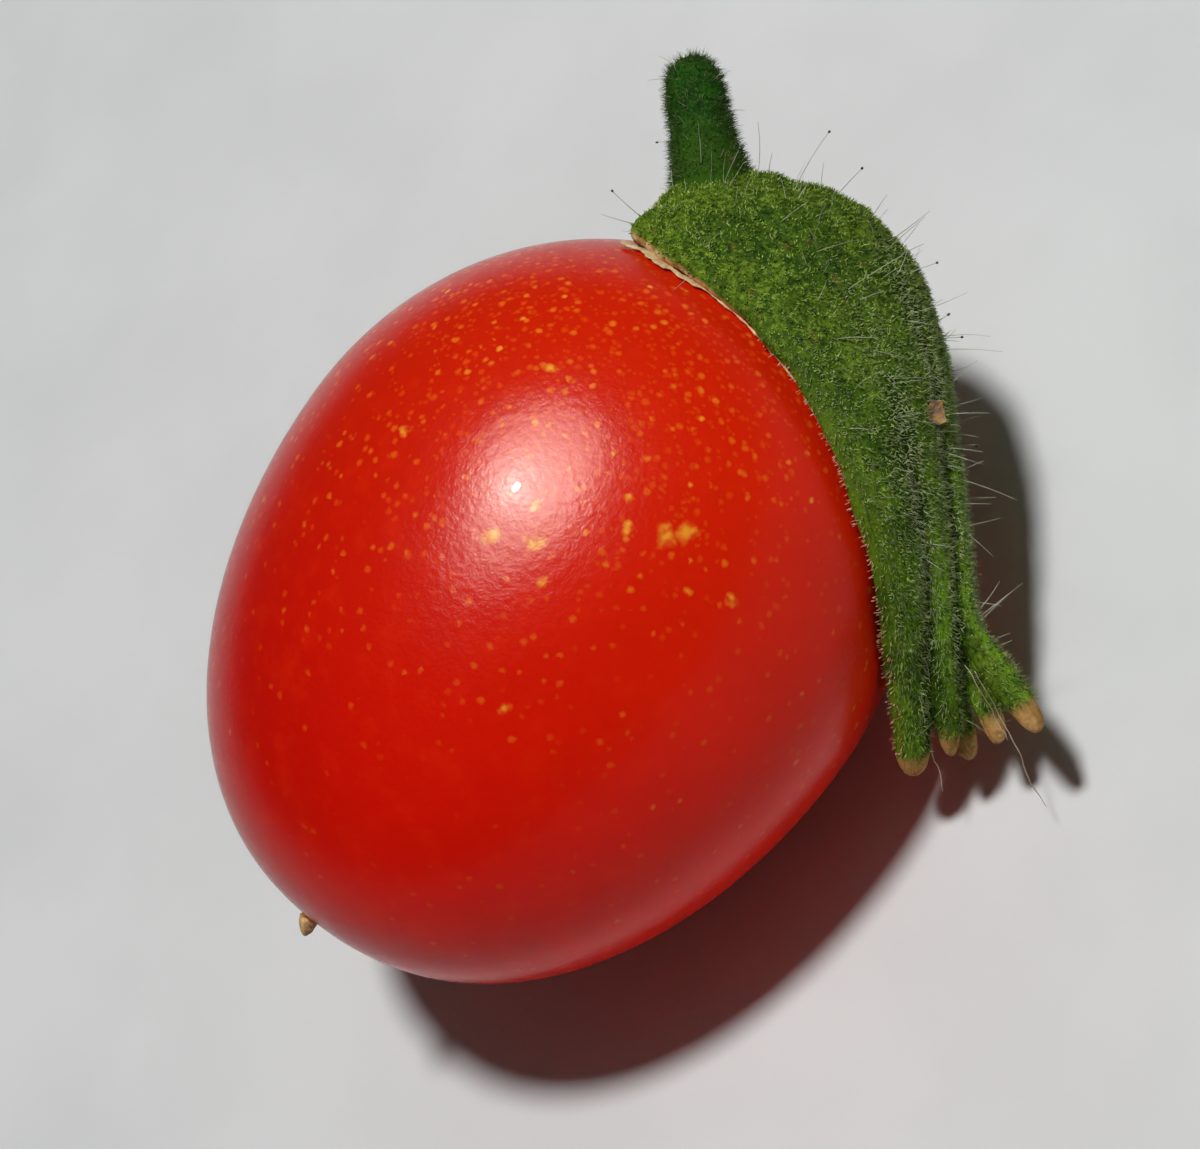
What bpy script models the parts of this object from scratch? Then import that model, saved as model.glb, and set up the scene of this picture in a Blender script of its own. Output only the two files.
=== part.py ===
"""A cherry tomato lying on its side, with its fused one-sided calyx, the stub of its stalk and the dry style.

Metres, +Z up. The fruit's long axis lies along X with the stalk end at +X. The origin is on the
small flat spot that the fruit rests on, right under the widest part of the fruit.
"""

import math

import bmesh
import bpy
import numpy as np
from mathutils import Matrix, Vector

MM = 0.001

# Fruit
FRUIT_RADIUS = 10.2 * MM
BLOSSOM_LENGTH = 13.6 * MM
STALK_LENGTH = 10.9 * MM
BLOSSOM_BLUNTNESS = 0.9
STALK_BLUNTNESS = 0.97
REST_DEPTH = 0.3 * MM
AXIS_HEIGHT = FRUIT_RADIUS - REST_DEPTH
FRUIT_SEGMENTS = 60
FRUIT_RINGS = 38

# Gaps between pieces that touch
CALYX_GAP = 0.15 * MM
STALK_GAP = 0.1 * MM
STYLE_GAP = 0.1 * MM

# The hood's own axes: X, and an up and an out axis turned this far about the fruit's axis
HOOD_LEAN = math.radians(40)

# Rows across the hood, from inside the crown down to where the lobes part, in millimetres from the
# fruit's centre: the near rim's (x, up), the crest's (x, up, out) and the far rim's (x, up). The near
# rim lies on the skin where out is positive, the far rim where it is negative.
HOOD_ROWS = (
    ((9.9, 4.5), (11.9, 4.4, 0.6), (10.2, 3.7)),
    ((9.8, 3.3), (13.2, 3.1, 0.9), (10.3, 2.3)),
    ((9.7, 1.7), (14.1, 1.2, 1.2), (10.1, 0.2)),
    ((9.4, -0.3), (14.3, -0.6, 1.6), (9.8, -2.0)),
    ((8.7, -2.1), (13.6, -2.8, 2.0), (9.1, -4.1)),
    ((7.3, -4.5), (12.0, -4.9, 2.4), (8.0, -6.3)),
    ((5.6, -6.7), (9.8, -6.9, 2.8), (6.5, -8.2)),
    ((4.0, -8.2), (7.7, -8.8, 3.2), (4.9, -9.2)),
    ((2.9, -9.3), (6.2, -10.1, 3.5), (3.9, -9.8)),
)
RIM_LIFT = 0.35 * MM
# The tip of each lobe, in the order of the sepals from the near rim to the far rim
LOBE_TIPS = (
    (1.25, -12.05, 1.3),
    (2.35, -12.7, 1.8),
    (4.5, -14.2, 4.3),
    (3.6, -13.5, 2.6),
    (2.7, -13.3, 0.6),
)
LOBE_HALF_WIDTHS = (0.66 * MM, 0.6 * MM, 0.62 * MM, 0.58 * MM, 0.58 * MM)
# How far a lobe goes on straight before it bends to its tip, as a share of the last row's step
LOBE_FOLLOW = 0.1
OVERLAP_AT_CROWN = 1.4
OVERLAP_AT_LOBES = 1.1
SEPAL_HALF_THICKNESS = 0.5 * MM
LOBE_HALF_THICKNESS = 0.46 * MM
SECTION_SQUARENESS = 0.85
STATIONS_PER_ROW = 3
SECTION_POINTS = 14
TIP_TAPER = (0.99, 0.94, 0.78, 0.42)

# The crown that the stalk stands on, and its radii along x, up and out, in millimetres
CROWN_CENTRE = (11.1, 3.95, 0.65)
CROWN_RADII = (1.95, 1.35, 1.95)
CROWN_SEGMENTS = 28
CROWN_RINGS = 18

# Stalk: points along its middle, from inside the crown to the tip, with its radius at each
STALK_POINTS = (
    ((11.9, 3.4, 0.9), 1.4),
    ((12.6, 4.1, 0.8), 1.28),
    ((13.2, 4.8, 0.65), 1.13),
    ((13.8, 5.5, 0.4), 1.04),
    ((14.4, 6.15, 0.1), 1.0),
    ((14.78, 6.55, -0.1), 0.88),
    ((15.0, 6.78, -0.2), 0.64),
    ((15.1, 6.9, -0.26), 0.3),
)
STALK_BEVEL_RESOLUTION = 6

# The dry style at the blossom end
STYLE_LENGTH = 0.6 * MM
STYLE_RADIUS = 0.28 * MM
STYLE_TIP_SHARE = 0.45
STYLE_BEND = 0.25 * MM
STYLE_RISE = 0.75 * MM
STYLE_DROOP = math.radians(20)
STYLE_SIDES = 12
STYLE_CUTS = 3

WELD = 0.001 * MM

# Colours
FRUIT_RED = (0.62, 0.012, 0.004, 1.0)
CALYX_GREEN = (0.075, 0.17, 0.022, 1.0)
STALK_GREEN = (0.05, 0.13, 0.022, 1.0)
STYLE_BROWN = (0.27, 0.13, 0.04, 1.0)


def clear_scene():
    """Removes every object of the open scene."""
    for obj in list(bpy.data.objects):
        bpy.data.objects.remove(obj)


def new_collection(name, hidden=False):
    """A new collection under the scene's own."""
    made = bpy.data.collections.new(name)
    bpy.context.scene.collection.children.link(made)
    made.hide_render = hidden
    return made


def paint(obj, name, colour, roughness):
    """Gives the object one plain material."""
    material = bpy.data.materials.new(name)
    material.use_nodes = True
    shader = material.node_tree.nodes["Principled BSDF"]
    shader.inputs["Base Color"].default_value = colour
    shader.inputs["Roughness"].default_value = roughness
    shader.inputs["Metallic"].default_value = 0.0
    obj.data.materials.clear()
    obj.data.materials.append(material)


def add_object(name, bm, into):
    """An object from a bmesh, with smooth faces that point outwards, in the given collection."""
    bmesh.ops.triangulate(bm, faces=bm.faces)
    bmesh.ops.recalc_face_normals(bm, faces=bm.faces)
    mesh = bpy.data.meshes.new(name)
    bm.to_mesh(mesh)
    bm.free()
    mesh.shade_smooth()
    obj = bpy.data.objects.new(name, mesh)
    into.objects.link(obj)
    return obj


def hide_cutter(obj):
    """Marks an object as a cutter, drawn as wire and not rendered."""
    obj.hide_render = True
    obj.display_type = "WIRE"
    return obj


def unit(vector):
    """The vector made one long."""
    return vector / np.linalg.norm(vector)


def in_hood_axes(point):
    """World position, in metres, of an (x, up, out) point given in millimetres."""
    x, up, out = (value * MM for value in point)
    y = up * math.cos(HOOD_LEAN) - out * math.sin(HOOD_LEAN)
    z = AXIS_HEIGHT + up * math.sin(HOOD_LEAN) + out * math.cos(HOOD_LEAN)
    return np.array((x, y, z))


def over_skin(x, up, side):
    """The rim's place over this x and up of the fruit's stalk half, where out is positive or negative."""
    radius = FRUIT_RADIUS / MM * (1 - (x * MM / STALK_LENGTH) ** 2) ** (STALK_BLUNTNESS / 2)
    skin = np.array((x, up, side * math.sqrt(max(radius**2 - up**2, 0.0))))
    slope = np.array(((FRUIT_RADIUS / STALK_LENGTH) ** 2, 1.0, 1.0))
    return in_hood_axes(skin + unit(skin * slope) * RIM_LIFT / MM)


def egg_point(on_sphere, margin):
    """Where a point of the unit sphere goes on the fruit's egg shape, grown by the margin."""
    along = on_sphere.z
    side = math.hypot(on_sphere.x, on_sphere.y)
    length = (STALK_LENGTH if along > 0 else BLOSSOM_LENGTH) + margin
    bluntness = STALK_BLUNTNESS if along > 0 else BLOSSOM_BLUNTNESS
    spread = (FRUIT_RADIUS + margin) * max(side, 1e-9) ** (bluntness - 1)
    return Vector((length * along, spread * on_sphere.x, AXIS_HEIGHT + spread * on_sphere.y))


def egg(margin=0.0):
    """The fruit's egg shape, grown by the margin: a UV sphere drawn out along X."""
    bm = bmesh.new()
    bmesh.ops.create_uvsphere(bm, u_segments=FRUIT_SEGMENTS, v_segments=FRUIT_RINGS, radius=1)
    for vert in bm.verts:
        vert.co = egg_point(vert.co, margin)
    return bm


def make_fruit(into):
    """The fruit: the egg, cut flat where it rests."""
    bm = egg()
    whole = bm.verts[:] + bm.edges[:] + bm.faces[:]
    down = (0, 0, -1)
    bmesh.ops.bisect_plane(bm, geom=whole, dist=WELD, plane_co=(0, 0, 0), plane_no=down, clear_outer=True)
    bmesh.ops.holes_fill(bm, edges=[edge for edge in bm.edges if edge.is_boundary])
    return add_object("fruit", bm, into)


def arch_point(row, share):
    """The point of a hood row this share of the way from the near rim over the crest to the far rim."""
    near = over_skin(*row[0], 1)
    crest = in_hood_axes(row[1])
    far = over_skin(*row[2], -1)
    return (
        near * (1 - share) * (1 - 2 * share)
        + crest * 4 * share * (1 - share)
        + far * share * (2 * share - 1)
    )


def through(points, position):
    """The point at a position, counted in points, on the Catmull-Rom curve through them."""
    last = len(points) - 1
    start = min(int(position), last - 1)
    part = position - start
    before, first, second, after = (points[min(max(start + k, 0), last)] for k in (-1, 0, 1, 2))
    return 0.5 * (
        2 * first
        + (second - before) * part
        + (2 * before - 5 * first + 4 * second - after) * part**2
        + (3 * first - before - 3 * second + after) * part**3
    )


def heading(points, position):
    """The direction of the curve through the points at this position."""
    step = 0.05
    ahead = min(position + step, len(points) - 1)
    behind = max(position - step, 0)
    return unit(through(points, ahead) - through(points, behind))


def section_ring(centre, across, outward, half_width, half_thickness):
    """A flattened ring round the centre, fuller than an ellipse."""
    ring = []
    for k in range(SECTION_POINTS):
        turn = 2 * math.pi * k / SECTION_POINTS
        side = math.copysign(abs(math.cos(turn)) ** SECTION_SQUARENESS, math.cos(turn))
        face = math.copysign(abs(math.sin(turn)) ** SECTION_SQUARENESS, math.sin(turn))
        ring.append(centre + across * half_width * side + outward * half_thickness * face)
    return ring


def sepal_rings(index):
    """The rings of one sepal, from the crown along the hood to the tip of its free lobe."""
    share = (index + 0.5) / len(LOBE_TIPS)
    half_share = 0.5 / len(LOBE_TIPS)
    overlaps = np.linspace(OVERLAP_AT_CROWN, OVERLAP_AT_LOBES, len(HOOD_ROWS))
    tip = in_hood_axes(LOBE_TIPS[index])
    lobe_width = LOBE_HALF_WIDTHS[index]
    path = [arch_point(row, share) for row in HOOD_ROWS]
    sides = [arch_point(row, share + half_share) - arch_point(row, share - half_share) for row in HOOD_ROWS]
    widths = [np.linalg.norm(side) / 2 * overlap for side, overlap in zip(sides, overlaps)]
    thicknesses = [SEPAL_HALF_THICKNESS] * len(path)
    path += [(path[-1] + tip) / 2 + (path[-1] - path[-2]) * LOBE_FOLLOW, tip]
    sides += [sides[-1], sides[-1]]
    widths += [(widths[-1] + lobe_width) / 2, lobe_width]
    thicknesses += [LOBE_HALF_THICKNESS, LOBE_HALF_THICKNESS]
    count = (len(path) - 1) * STATIONS_PER_ROW
    tapers = [1.0] * (count + 1 - len(TIP_TAPER)) + list(TIP_TAPER)
    rings = []
    for k, taper in enumerate(tapers):
        position = k / STATIONS_PER_ROW
        along = heading(path, position)
        side = through(sides, position)
        across = unit(side - along * np.dot(side, along))
        half_width = through(widths, position) * taper
        half_thickness = through(thicknesses, position) * taper
        outward = np.cross(across, along)
        rings.append(section_ring(through(path, position), across, outward, half_width, half_thickness))
    return rings


def make_sepal(index, into):
    """One sepal: a closed solid through its rings, with a flat cap on each end."""
    bm = bmesh.new()
    rows = [[bm.verts.new(point) for point in ring] for ring in sepal_rings(index)]
    for low, high in zip(rows, rows[1:]):
        for k in range(SECTION_POINTS):
            after = (k + 1) % SECTION_POINTS
            bm.faces.new((low[k], low[after], high[after], high[k]))
    bm.faces.new(rows[0][::-1])
    bm.faces.new(rows[-1])
    return add_object(f"sepal {index + 1}", bm, into)


def make_crown(name, into):
    """The rounded crown of the calyx, where the sepals and the stalk meet."""
    bm = bmesh.new()
    bmesh.ops.create_uvsphere(bm, u_segments=CROWN_SEGMENTS, v_segments=CROWN_RINGS, radius=MM)
    bmesh.ops.scale(bm, vec=Vector(CROWN_RADII), verts=bm.verts)
    bmesh.ops.rotate(bm, cent=Vector(), matrix=Matrix.Rotation(HOOD_LEAN, 3, "X"), verts=bm.verts)
    bmesh.ops.translate(bm, vec=Vector(in_hood_axes(CROWN_CENTRE)), verts=bm.verts)
    return add_object(name, bm, into)


def make_stalk(name, into, margin=0.0):
    """The stub of the stalk: a curve with a round bevel, made a mesh with its caps welded."""
    curve = bpy.data.curves.new(name, "CURVE")
    curve.dimensions = "3D"
    curve.bevel_depth = MM
    curve.bevel_resolution = STALK_BEVEL_RESOLUTION
    curve.use_fill_caps = True
    spline = curve.splines.new("POLY")
    spline.points.add(len(STALK_POINTS) - 1)
    for control, (point, radius) in zip(spline.points, STALK_POINTS):
        control.co = (*in_hood_axes(point), 1.0)
        control.radius = radius + margin / MM
    guide = bpy.data.objects.new(name + " curve", curve)
    into.objects.link(guide)
    bm = bmesh.new()
    bm.from_mesh(evaluated_mesh(guide))
    bmesh.ops.remove_doubles(bm, verts=bm.verts, dist=WELD)
    bpy.data.objects.remove(guide)
    bpy.data.curves.remove(curve)
    return add_object(name, bm, into)


def evaluated_mesh(obj):
    """A new mesh of the object as its modifiers, or its bevel, make it."""
    bpy.context.view_layer.update()
    return bpy.data.meshes.new_from_object(obj.evaluated_get(bpy.context.evaluated_depsgraph_get()))


def add_cut(obj, name, cutter):
    """Cuts the cutter's shape out of the object."""
    modifier = obj.modifiers.new(name, "BOOLEAN")
    modifier.operation = "DIFFERENCE"
    modifier.solver = "EXACT"
    modifier.object = hide_cutter(cutter)


def fuse(obj, parts):
    """Joins everything in the collection to the object, and removes the collection."""
    modifier = obj.modifiers.new("fuse", "BOOLEAN")
    modifier.operation = "UNION"
    modifier.solver = "EXACT"
    modifier.operand_type = "COLLECTION"
    modifier.collection = parts
    fused = evaluated_mesh(obj)
    obj.modifiers.clear()
    obj.data = fused
    for part in list(parts.objects):
        bpy.data.objects.remove(part)
    bpy.data.collections.remove(parts)


def make_calyx(into, cutters):
    """The calyx: five sepals fused into a hood with free lobes, on the crown, clear of the fruit."""
    calyx = make_crown("calyx", into)
    sepals = new_collection("sepals")
    for index in range(len(LOBE_TIPS)):
        make_sepal(index, sepals)
    fuse(calyx, sepals)
    add_cut(calyx, "room for the fruit", add_object("fruit room", egg(CALYX_GAP), cutters))
    add_cut(calyx, "room for the stalk", make_stalk("stalk room", cutters, STALK_GAP))
    return calyx


def make_style(into):
    """The dry end of the style, a bent tapering nib on the blossom end."""
    bm = bmesh.new()
    bmesh.ops.create_cone(
        bm,
        cap_ends=True,
        segments=STYLE_SIDES,
        radius1=STYLE_RADIUS,
        radius2=STYLE_RADIUS * STYLE_TIP_SHARE,
        depth=STYLE_LENGTH,
    )
    long_edges = [edge for edge in bm.edges if edge.verts[0].co.z * edge.verts[1].co.z < 0]
    bmesh.ops.subdivide_edges(bm, edges=long_edges, cuts=STYLE_CUTS)
    for vert in bm.verts:
        vert.co.x += STYLE_BEND * (vert.co.z / STYLE_LENGTH + 0.5) ** 2
    turn = Matrix.Rotation(math.radians(-90) - STYLE_DROOP, 3, "Y")
    middle = BLOSSOM_LENGTH + STYLE_GAP + STYLE_LENGTH / 2
    bmesh.ops.rotate(bm, cent=Vector(), matrix=turn, verts=bm.verts)
    bmesh.ops.translate(bm, vec=Vector((-middle, 0, AXIS_HEIGHT + STYLE_RISE)), verts=bm.verts)
    return add_object("style", bm, into)


def main():
    clear_scene()
    tomato = new_collection("cherry tomato")
    cutters = new_collection("cutters", hidden=True)
    paint(make_fruit(tomato), "tomato skin", FRUIT_RED, 0.35)
    paint(make_calyx(tomato, cutters), "calyx green", CALYX_GREEN, 0.7)
    paint(make_stalk("stalk", tomato), "stalk green", STALK_GREEN, 0.7)
    paint(make_style(tomato), "dry style", STYLE_BROWN, 0.8)


main()
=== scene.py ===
"""Looks of the cherry tomato: skin, fused calyx with its down and long hairs, corky margin, stalk and style.

Run as a script by Blender. Metres, +Z up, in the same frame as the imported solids.
"""

import math

import bpy
import numpy as np
from bpy.props import FloatProperty, FloatVectorProperty, IntProperty, PointerProperty
from mathutils import Matrix, Vector


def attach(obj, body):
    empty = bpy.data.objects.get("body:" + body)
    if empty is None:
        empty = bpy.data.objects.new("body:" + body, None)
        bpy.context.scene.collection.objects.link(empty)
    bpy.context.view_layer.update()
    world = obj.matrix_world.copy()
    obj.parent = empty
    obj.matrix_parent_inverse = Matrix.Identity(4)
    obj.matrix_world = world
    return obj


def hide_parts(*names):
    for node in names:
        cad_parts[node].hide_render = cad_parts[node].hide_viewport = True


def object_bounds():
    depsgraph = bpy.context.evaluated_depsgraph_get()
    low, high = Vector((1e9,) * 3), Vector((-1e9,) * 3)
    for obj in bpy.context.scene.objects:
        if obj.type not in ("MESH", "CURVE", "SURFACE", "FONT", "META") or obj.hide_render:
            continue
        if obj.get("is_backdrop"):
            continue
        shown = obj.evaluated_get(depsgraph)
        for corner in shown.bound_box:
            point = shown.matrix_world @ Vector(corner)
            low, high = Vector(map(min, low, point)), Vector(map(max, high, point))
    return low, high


bl_info = {
    "name": "Cherry tomato looks",
    "version": (1, 0, 0),
    "blender": (4, 5, 0),
    "location": "3D View > Sidebar > Tomato",
    "description": "Dresses the packed cherry tomato with its visible skin, calyx, hairs, stalk and style",
    "category": "Object",
}

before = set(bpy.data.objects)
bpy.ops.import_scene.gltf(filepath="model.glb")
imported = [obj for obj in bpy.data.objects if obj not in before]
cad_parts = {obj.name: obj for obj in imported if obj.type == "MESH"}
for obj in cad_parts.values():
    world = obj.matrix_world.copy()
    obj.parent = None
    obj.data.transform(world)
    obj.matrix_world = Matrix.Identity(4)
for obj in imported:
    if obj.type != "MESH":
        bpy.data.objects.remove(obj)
CAD_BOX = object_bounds()

MM = 0.001
BODY = "root"
FIRST_SEED = 4100

# The fruit, as in the part's source, in millimetres
FRUIT_RADIUS = 10.2
BLOSSOM_LENGTH = 13.6
STALK_LENGTH = 10.9
BLOSSOM_BLUNTNESS = 0.9
STALK_BLUNTNESS = 0.97
AXIS_HEIGHT = 9.9
HOOD_LEAN = math.radians(40)

# The hood's rows: near rim (x, up), crest (x, up, out) and far rim (x, up). They follow the rows in the
# part's source, with the near rim and the crest fitted closer to the photograph
HOOD_ROWS = (
    ((9.42, 4.6), (11.8, 4.4, 0.6), (10.2, 3.7)),
    ((9.33, 3.35), (12.88, 3.1, 0.9), (10.3, 2.3)),
    ((9.28, 1.8), (13.72, 1.2, 1.2), (10.1, 0.2)),
    ((8.98, -0.15), (14.05, -0.6, 1.6), (9.8, -2.0)),
    ((8.44, -1.95), (13.38, -2.8, 2.0), (9.1, -4.1)),
    ((7.1, -4.4), (11.85, -4.9, 2.4), (8.0, -6.3)),
    ((5.53, -6.65), (9.7, -6.9, 2.8), (6.5, -8.2)),
    ((4.0, -8.2), (7.65, -8.8, 3.2), (4.9, -9.2)),
    ((2.9, -9.3), (6.2, -10.1, 3.5), (3.9, -9.8)),
)
RIM_LIFT = 0.35
LOBE_TIPS = (
    (1.25, -12.05, 1.3), (2.35, -12.7, 1.8), (4.6, -14.15, 4.3), (3.6, -13.5, 2.6), (2.7, -13.3, 0.6),
)
LOBE_HALF_WIDTHS = (0.58, 0.44, 0.6, 0.45, 0.43)
# How far over the hood, from the near rim to the far rim, each sepal begins and ends
LOBE_SPANS = (0.0, 0.15, 0.33, 0.55, 0.78, 1.0)
LOBE_FOLLOW = 0.1
# At these rows, how much wider than its span a sepal is
OVERLAPS = ((0, 1.35), (4, 1.15), (8, 0.92))
SEPAL_HALF_THICKNESS = 0.5
LOBE_HALF_THICKNESS = 0.46
SECTION_SQUARENESS = 0.85
# The crown and its shoulder: centre (x, up, out) and radii
CROWN = (((11.1, 3.75, 0.65), (1.95, 1.1, 1.95)), ((10.4, 3.88, 0.65), (1.88, 1.08, 1.7)))
# The stalk's stations: (x, up, out) and radius
STALK_POINTS = (
    ((11.9, 3.4, 0.9), 1.4),
    ((12.62, 4.08, 0.8), 1.24),
    ((13.24, 4.74, 0.65), 1.07),
    ((13.88, 5.4, 0.4), 0.96),
    ((14.5, 6.02, 0.1), 0.92),
    ((14.96, 6.49, -0.1), 0.83),
    ((15.21, 6.74, -0.2), 0.62),
    ((15.32, 6.86, -0.26), 0.28),
)

# Photograph: its width in pixels, metres a pixel, how far the camera is away, raised and turned, and how far
# right of and below the fruit's middle it looks
PHOTO_WIDTH = 1200
PHOTO_SCALE = 0.0316 * MM
CAMERA_DISTANCE = 0.12
CAMERA_ELEVATION = math.radians(50)
CAMERA_ROLL = math.radians(53.8)
LOOK_RIGHT = 16.4 * PHOTO_SCALE
LOOK_DOWN = 14.6 * PHOTO_SCALE
SENSOR_WIDTH = 36.0


# Meshes

NO_TRIANGLES = np.empty((0, 3), int)


def put_mesh(name, points, quads, triangles, attributes=None):
    """An object of the points (in millimetres) and faces, given as whole arrays, with smooth faces.

    attributes maps a name to one number, or one row of three, for each point.
    """
    mesh = bpy.data.meshes.new(name)
    mesh.vertices.add(len(points))
    mesh.vertices.foreach_set("co", np.asarray(points * MM, np.float32).ravel())
    corners = np.concatenate([quads.ravel(), triangles.ravel()]).astype(np.int32)
    mesh.loops.add(len(corners))
    mesh.loops.foreach_set("vertex_index", corners)
    starts = np.concatenate([np.arange(len(quads)) * 4, len(quads) * 4 + np.arange(len(triangles)) * 3])
    mesh.polygons.add(len(starts))
    mesh.polygons.foreach_set("loop_start", starts.astype(np.int32))
    mesh.update(calc_edges=True)
    mesh.validate()
    mesh.shade_smooth()
    for key, values in (attributes or {}).items():
        values = np.asarray(values, np.float32)
        kind, field = ("FLOAT_VECTOR", "vector") if values.ndim == 2 else ("FLOAT", "value")
        mesh.attributes.new(key, kind, "POINT").data.foreach_set(field, values.ravel())
    obj = bpy.data.objects.new(name, mesh)
    bpy.context.scene.collection.objects.link(obj)
    return obj


def closed_tubes(rings, start, end):
    """Points, quads and triangles of closed tubes, from their rings (tubes, n, sides, 3) and both poles.

    Point k of ring j of a tube is j * sides + k, its start pole is n * sides, its end pole one more.
    """
    tubes, count, sides = rings.shape[:3]
    points = np.concatenate([rings.reshape(tubes, -1, 3), start[:, None], end[:, None]], axis=1)
    shift = np.arange(tubes)[:, None, None] * (count * sides + 2)
    side = np.arange(sides)
    after = (side + 1) % sides
    ring = np.arange(count - 1)[:, None, None] * sides
    quads = (ring + np.stack([side, after, sides + after, sides + side], -1)).reshape(-1, 4)
    last = (count - 1) * sides
    first_fan = np.stack([after, side, np.full(sides, count * sides)], -1)
    last_fan = np.stack([last + side, last + after, np.full(sides, count * sides + 1)], -1)
    triangles = np.concatenate([first_fan, last_fan])
    return points.reshape(-1, 3), (shift + quads).reshape(-1, 4), (shift + triangles).reshape(-1, 3)


def closed_nib(rings, centre):
    """One closed tube whose last ring has shrunk to its centre, so that the end pole takes its place."""
    return closed_tubes(rings[None, :-1], centre[None, 0], centre[None, -1])


def rings_round(centre, first, second, width, depth, turn):
    """Rings round the centres: centre + first width cos(turn) + second depth sin(turn)."""
    wide = first[..., None, :] * (width * np.cos(turn))[..., None]
    deep = second[..., None, :] * (depth * np.sin(turn))[..., None]
    return centre[..., None, :] + wide + deep


def full_turn(sides):
    """Angles of the points of a ring."""
    return np.linspace(0, 2 * np.pi, sides, endpoint=False)


def unit(vectors):
    """The vectors made one long."""
    return vectors / np.maximum(np.linalg.norm(vectors, axis=-1, keepdims=True), 1e-12)


def square_to(vectors, along):
    """The part of the vectors that is square to `along`, made one long."""
    return unit(vectors - along * (vectors * along).sum(-1, keepdims=True))


def path_frames(centre, hint):
    """Along, first and second directions of a path, so that first x second = along."""
    along = unit(np.gradient(centre, axis=-2))
    first = square_to(hint, along)
    return along, first, np.cross(along, first)


def catmull_rom(points, positions):
    """Points on the Catmull-Rom curve: with p0..p3 round each position and t the part between p1 and p2,

    0.5 (2 p1 + (p2 - p0) t + (2 p0 - 5 p1 + 4 p2 - p3) t^2 + (3 p1 - p0 - 3 p2 + p3) t^3).
    """
    points = np.asarray(points, float)
    points = points.reshape(len(points), -1)
    last = len(points) - 1
    start = np.minimum(positions.astype(int), last - 1)
    part = (positions - start)[:, None]
    before, first, second, after = (points[np.clip(start + k, 0, last)] for k in (-1, 0, 1, 2))
    return 0.5 * (
        2 * first
        + (second - before) * part
        + (2 * before - 5 * first + 4 * second - after) * part**2
        + (3 * first - before - 3 * second + after) * part**3
    )


def sway(values, seed, octaves=4):
    """A smooth wobble in -1..1 along the values: a sum of sines of doubling rate and halving height."""
    draw = np.random.default_rng(seed)
    rates = 2.0 ** np.arange(octaves)
    phases = draw.uniform(0, 2 * np.pi, octaves)
    waves = np.sin(values[..., None] * rates + phases) / rates
    return waves.sum(-1) / (1 / rates).sum()


def nib_taper(stations, share, rise=2.0):
    """1 along the piece and, over its last share, (1 - t^rise)^(1/2): a quarter ellipse where rise is 2."""
    into_tip = np.clip((np.linspace(0, 1, stations) - (1 - share)) / share, 0, 1)
    return np.sqrt(np.maximum(1 - into_tip**rise, 0.0))


# Shapes shared by several pieces


def from_hood(points):
    """(x, up, out) rows to world axes, in millimetres, with `lean` the hood's turn about the fruit's axis:

    y = up cos(lean) - out sin(lean), z = axis height + up sin(lean) + out cos(lean).
    """
    x, up, out = np.moveaxis(np.asarray(points, float), -1, 0)
    y = up * math.cos(HOOD_LEAN) - out * math.sin(HOOD_LEAN)
    z = AXIS_HEIGHT + up * math.sin(HOOD_LEAN) + out * math.cos(HOOD_LEAN)
    return np.stack([x, y, z], -1)


def turn_to_world(vectors):
    """Directions from the hood's axes to world axes."""
    return from_hood(vectors) - from_hood((0.0, 0.0, 0.0))


def egg_half(x):
    """Length and bluntness of the half of the egg that x is in."""
    stalk_side = np.asarray(x) > 0
    length = np.where(stalk_side, STALK_LENGTH, BLOSSOM_LENGTH)
    return length, np.where(stalk_side, STALK_BLUNTNESS, BLOSSOM_BLUNTNESS)


def egg_value(points, margin):
    """(|x| / length)^2 + (radius / fruit radius)^(2 / bluntness) - 1.

    It is below 0 inside the egg, grown by the margin.
    """
    x = points[:, 0]
    radius = np.hypot(points[:, 1], points[:, 2] - AXIS_HEIGHT)
    length, bluntness = egg_half(x)
    return (np.abs(x) / (length + margin)) ** 2 + (radius / (FRUIT_RADIUS + margin)) ** (2 / bluntness) - 1


def egg_slope(points, margin):
    """Gradient of egg_value by central differences of 0.001 mm."""
    step = 0.001
    slopes = [
        (egg_value(points + axis, margin) - egg_value(points - axis, margin)) / (2 * step)
        for axis in np.eye(3) * step
    ]
    return np.stack(slopes, -1)


def clear_of_fruit(points, margin):
    """Moves points inside the grown egg out to its skin: p - f grad(f) / |grad(f)|^2, eight times."""
    longest_step = 0.6
    points = points.copy()
    inside = egg_value(points, margin) < 0
    for _ in range(8):
        chosen = points[inside]
        slope = egg_slope(chosen, margin)
        size = np.maximum((slope**2).sum(-1), 1e-9)
        step = slope * (egg_value(chosen, margin) / size)[:, None]
        length = np.linalg.norm(step, axis=-1, keepdims=True)
        points[inside] = chosen - step * np.minimum(1, longest_step / np.maximum(length, 1e-9))
    return points


def egg_profile(ends):
    """(x, radius) of the egg at angles from the blossom end, 0, to the stalk end, pi:

    x = -length cos(angle), radius = fruit radius sin(angle)^bluntness, with each half's own two numbers.
    """
    along = -np.cos(ends)
    length, bluntness = egg_half(along)
    return along * length, FRUIT_RADIUS * np.sin(ends) ** bluntness


def on_fruit(x, around):
    """The skin's point at x millimetres and this many degrees round from the top towards -Y, in metres."""
    length, bluntness = egg_half(x)
    radius = float(FRUIT_RADIUS * (1 - (x / length) ** 2) ** (bluntness / 2))
    turn = math.radians(around)
    return (x * MM, -radius * math.sin(turn) * MM, (AXIS_HEIGHT + radius * math.cos(turn)) * MM)


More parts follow.
